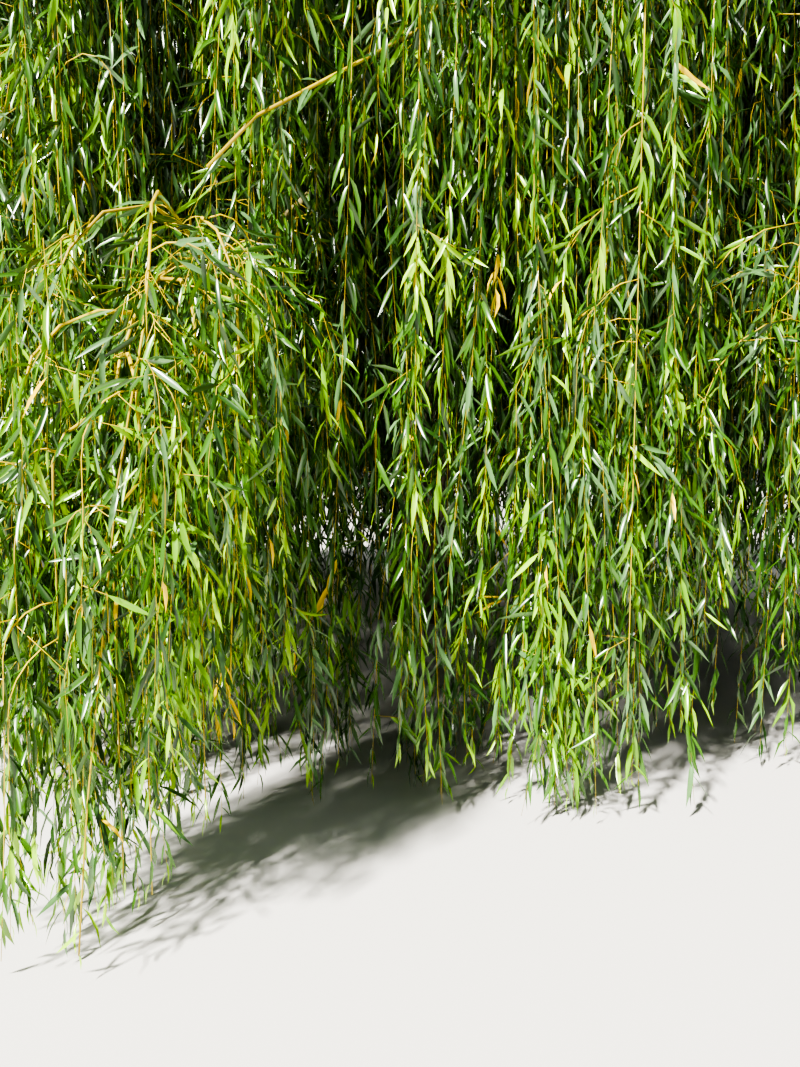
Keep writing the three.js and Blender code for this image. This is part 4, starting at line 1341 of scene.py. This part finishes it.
CROWN_PLAN = {
    "strands": {
        "count": 180, "reach": (0.2, 1.9), "lift": (-5, 72), "ragged": 0.4, "dip": 0.1,
        "drop": (0.35, 4.2), "points": 7, "spread": 0.26, "shell": 0.5, "tresses": False,
    },
    "twigs": {
        "count": 360, "reach": (0.1, 0.45), "lift": (-50, 50), "ragged": 0.4, "dip": 0.1,
        "drop": (0.1, 0.9), "points": 3,
    },
    "gauge": 0.0045, "spacing": 0.05, "leaf": 0.225,
}
TOP_STRANDS = {"count": 620, "reach": (0.15, 1.2), "lift": (0, 60), "dip": 0.25, "drop": (0.25, 2.4)}
TOP_PLAN = {
    **CROWN_PLAN,
    "strands": {**CROWN_PLAN["strands"], **TOP_STRANDS},
    "twigs": {**CROWN_PLAN["twigs"], "count": 800},
    "until": 0.97,
}
SHOULDER_LIMB_FROM = 0.4
TOP_LIMB_FROM = 0.8
# Long shoots arch out of the shoulders to both sides, and of the top all round in two tiers
SIDE_ARCH = {"lift": 26, "bend": 3.9, "end": 0}
SIDE_ARCH_START = 0.15
SIDE_ARCH_TURN = 46
TOP_ARCHES = 12
TOP_ARCH_TURN = 20
LOW_ARCH = {"lift": 32, "bend": 4.1, "end": 0}
LOW_ARCH_PARTS = (0.45, 0.95)
HIGH_ARCH = {"lift": 52, "bend": 4.1, "hang": 70, "end": 0}
HIGH_ARCH_PARTS = (0.9, 1.0)
ARCH_SHORTER = 0.98


def top_floor(radius):
    return np.where(radius < SHOULDER_INNER_RADIUS - SPACE_GAP, TOP_FLOOR, TOP_RIM - TOP_RIM_FALL * radius)


def shoulder_space(turn):
    azimuth = shoulder_azimuths[turn]
    beside = [shoulder_azimuths[(turn + step) % SHOULDERS] for step in (1, SHOULDERS - 1)]
    half = min(turn_between(other, azimuth) for other in beside) / 2

    def floor(radius, spots):
        over_curtain = radius > CURTAIN_INNER_RADIUS - SPACE_GAP
        return np.where(over_curtain, curtain_roof(radius) + SPACE_GAP, SHOULDER_FLOOR)

    def roof(radius):
        return top_floor(radius) - SPACE_GAP

    return sector_space(azimuth, half, SHOULDER_INNER_RADIUS, np.inf, floor, roof)


top_space = sector_space(0, None, 0, np.inf, lambda radius, spots: top_floor(radius), lambda radius: HEIGHT)


def grow_arch(space, start, arch):
    """A long shoot that arches out as far as its mass's space lets it."""
    arch = dict(arch)
    route = weep(space, start, arch, SMOOTH_STEPS)
    while route is None:
        arch["bend"] *= ARCH_SHORTER
        route = weep(space, start, arch, SMOOTH_STEPS)
    return {"route": route, "thick": RIB_BASE, "thin": RIB_TIP, "azimuth": arch["azimuth"]}


crown_masses = []
for turn in range(SHOULDERS):
    space, bough = shoulder_space(turn), f"shoulder_bough_{turn + 1}"
    shoots = grow_shoots(space, bough, SHOULDER_RULE, SHOULDER_SHOOT_SEED + SHOULDER_SHOOT_SEED_STEP * turn)
    start = at_lengths(shoots[0]["route"], SIDE_ARCH_START)
    for side in (-1, 1):
        arch = {**SIDE_ARCH, "azimuth": shoulder_azimuths[turn] + side * SIDE_ARCH_TURN}
        shoots.append(grow_arch(space, start, arch))
    parents = [outer_limb(bough, SHOULDER_LIMB_FROM)]
    crown_masses.append(grow_mass(space, shoots, parents, CROWN_PLAN, rng))
shoots = grow_shoots(top_space, "leader", TOP_RULE, TOP_SEED)
stem = shoots[0]["route"]
for arch, (first, last) in ((LOW_ARCH, LOW_ARCH_PARTS), (HIGH_ARCH, HIGH_ARCH_PARTS)):
    for turn in range(TOP_ARCHES):
        start = at_lengths(stem, TOP_UPRIGHT * (first + (last - first) * (turn * GOLDEN_PART % 1)))
        azimuth = 360 / TOP_ARCHES * turn + TOP_ARCH_TURN * rng.random()
        shoots.append(grow_arch(top_space, start, {**arch, "azimuth": azimuth}))
crown_masses.append(grow_mass(top_space, shoots, [outer_limb("leader", TOP_LIMB_FROM)], TOP_PLAN, rng))
crown_nodes = [f"shoulder_{turn + 1}" for turn in range(SHOULDERS)] + ["crown_top"]
add_foliage("crown", crown_masses, crown_nodes, FAR_SLENDER, two_faces, FAR_SPRAY, rng)


# Inner masses. Between the main boughs hang thin, shaded shoots with sparser leaves, dealt dark greens as
# painted shade, which close the view through the curtains.
INNER = {"half": 28, "inner": 1.0, "outer": 2.96, "floor": 2.45, "roof": 5.78}
INNER_RULE = {
    "bend": 0.9, "ribs": 2, "from": 0.2, "to": 0.6, "turn": (70, 60), "lift": 10, "rib_bend": 1.0,
    "ragged": 0.5, "leaf": 1,
}
INNER_SHOOT_SEED, INNER_SHOOT_SEED_STEP = 4409, 23
INNER_PLAN = {
    "strands": {
        "count": 60, "reach": (0.2, 1.2), "lift": (-10, 30), "ragged": 0.8, "dip": 0.1,
        "drop": (0.5, 4), "points": 7, "spread": 0.3, "shell": 0, "tresses": False,
    },
    "twigs": {
        "count": 110, "reach": (0.1, 0.4), "lift": (-60, 20), "ragged": 0.5, "dip": 0.1,
        "drop": (0.1, 0.9), "points": 3,
    },
    "gauge": 0.0045, "spacing": 0.07, "leaf": 0.25,
}
INNER_LIMB_FROM = 0.6


def inner_space(azimuth):
    def floor(radius, spots):
        return INNER["floor"] + 0 * radius

    def roof(radius):
        return INNER["roof"]

    return sector_space(azimuth, INNER["half"], INNER["inner"], INNER["outer"], floor, roof)


inner_masses = []
for turn, azimuth in enumerate(inner_azimuths):
    space, bough = inner_space(azimuth), f"inner_bough_{turn + 1}"
    shoots = grow_shoots(space, bough, INNER_RULE, INNER_SHOOT_SEED + INNER_SHOOT_SEED_STEP * turn)
    inner_masses.append(grow_mass(space, shoots, [outer_limb(bough, INNER_LIMB_FROM)], INNER_PLAN, rng))
inner_nodes = [f"inner_mass_{turn + 1}" for turn in range(MAIN_BOUGHS)]
add_foliage("inner", inner_masses, inner_nodes, FAR_SLENDER, two_faces, FAR_SPRAY, rng)


# Floor, studio light and camera. A plain pale floor under the tree, a broad key light from the upper left
# behind the camera, and an even fill from all round. The camera stands 3.3 m in front of the curtain at eye
# height.
FLOOR_SIZE = 90
FLOOR_CUTS = 3
FLOOR_COLOUR = (0.62, 0.6, 0.57)
FLOOR_ROUGHNESS = 0.85
FLOOR_SHINE = 0.2
KEY_TURN = (40, -36)
KEY_ENERGY = 12.4
KEY_WIDTH = 4
KEY_COLOUR = (1, 0.97, 0.92)
BACK_TURN = (60, 140)
BACK_ENERGY = 0.5
BACK_WIDTH = 40
SKY_COLOUR = (0.86, 0.9, 0.95, 1)
SKY_STRENGTH = 0.34
CAMERA_PITCH = -5
CAMERA_SENSOR = 36
CAMERA_LENS = 27
CAMERA_SIGHT = 300


def add_sun(name, turn, energy, width, colour):
    """A sun of a width in degrees, tipped by the first angle of its turn and then turned by the second."""
    tip, azimuth = (math.radians(angle) for angle in turn)
    bpy.ops.object.light_add(type="SUN", rotation=(tip, 0, azimuth))
    sun = bpy.context.object
    sun.name = name
    sun.data.energy = energy
    sun.data.angle = math.radians(width)
    sun.data.color = colour


bpy.ops.object.select_all(action="DESELECT")
bpy.ops.mesh.primitive_plane_add(size=FLOOR_SIZE)
floor = bpy.context.object
floor.name = "floor"
bpy.ops.object.mode_set(mode="EDIT")
bpy.ops.mesh.subdivide(number_cuts=FLOOR_CUTS)
bpy.ops.object.mode_set(mode="OBJECT")
floor_finish = Finish("floor_finish", FLOOR_ROUGHNESS, FLOOR_SHINE)
floor_finish.set("Base Color", FLOOR_COLOUR)
floor_finish.on(floor)
add_sun("key_light", KEY_TURN, KEY_ENERGY, KEY_WIDTH, KEY_COLOUR)
add_sun("back_light", BACK_TURN, BACK_ENERGY, BACK_WIDTH, (1, 1, 1))
world = bpy.data.worlds.new("studio")
bpy.context.scene.world = world
world.use_nodes = True
sky = world.node_tree.nodes["Background"]
sky.inputs["Color"].default_value = SKY_COLOUR
sky.inputs["Strength"].default_value = SKY_STRENGTH
bpy.ops.object.camera_add(location=CAMERA_PLACE, rotation=(math.radians(90 + CAMERA_PITCH), 0, 0))
camera = bpy.context.object
camera.name = "camera"
camera.data.sensor_width = CAMERA_SENSOR
camera.data.lens = CAMERA_LENS
camera.data.clip_end = CAMERA_SIGHT
bpy.context.scene.camera = camera
bpy.context.scene.view_settings.look = "AgX - High Contrast"
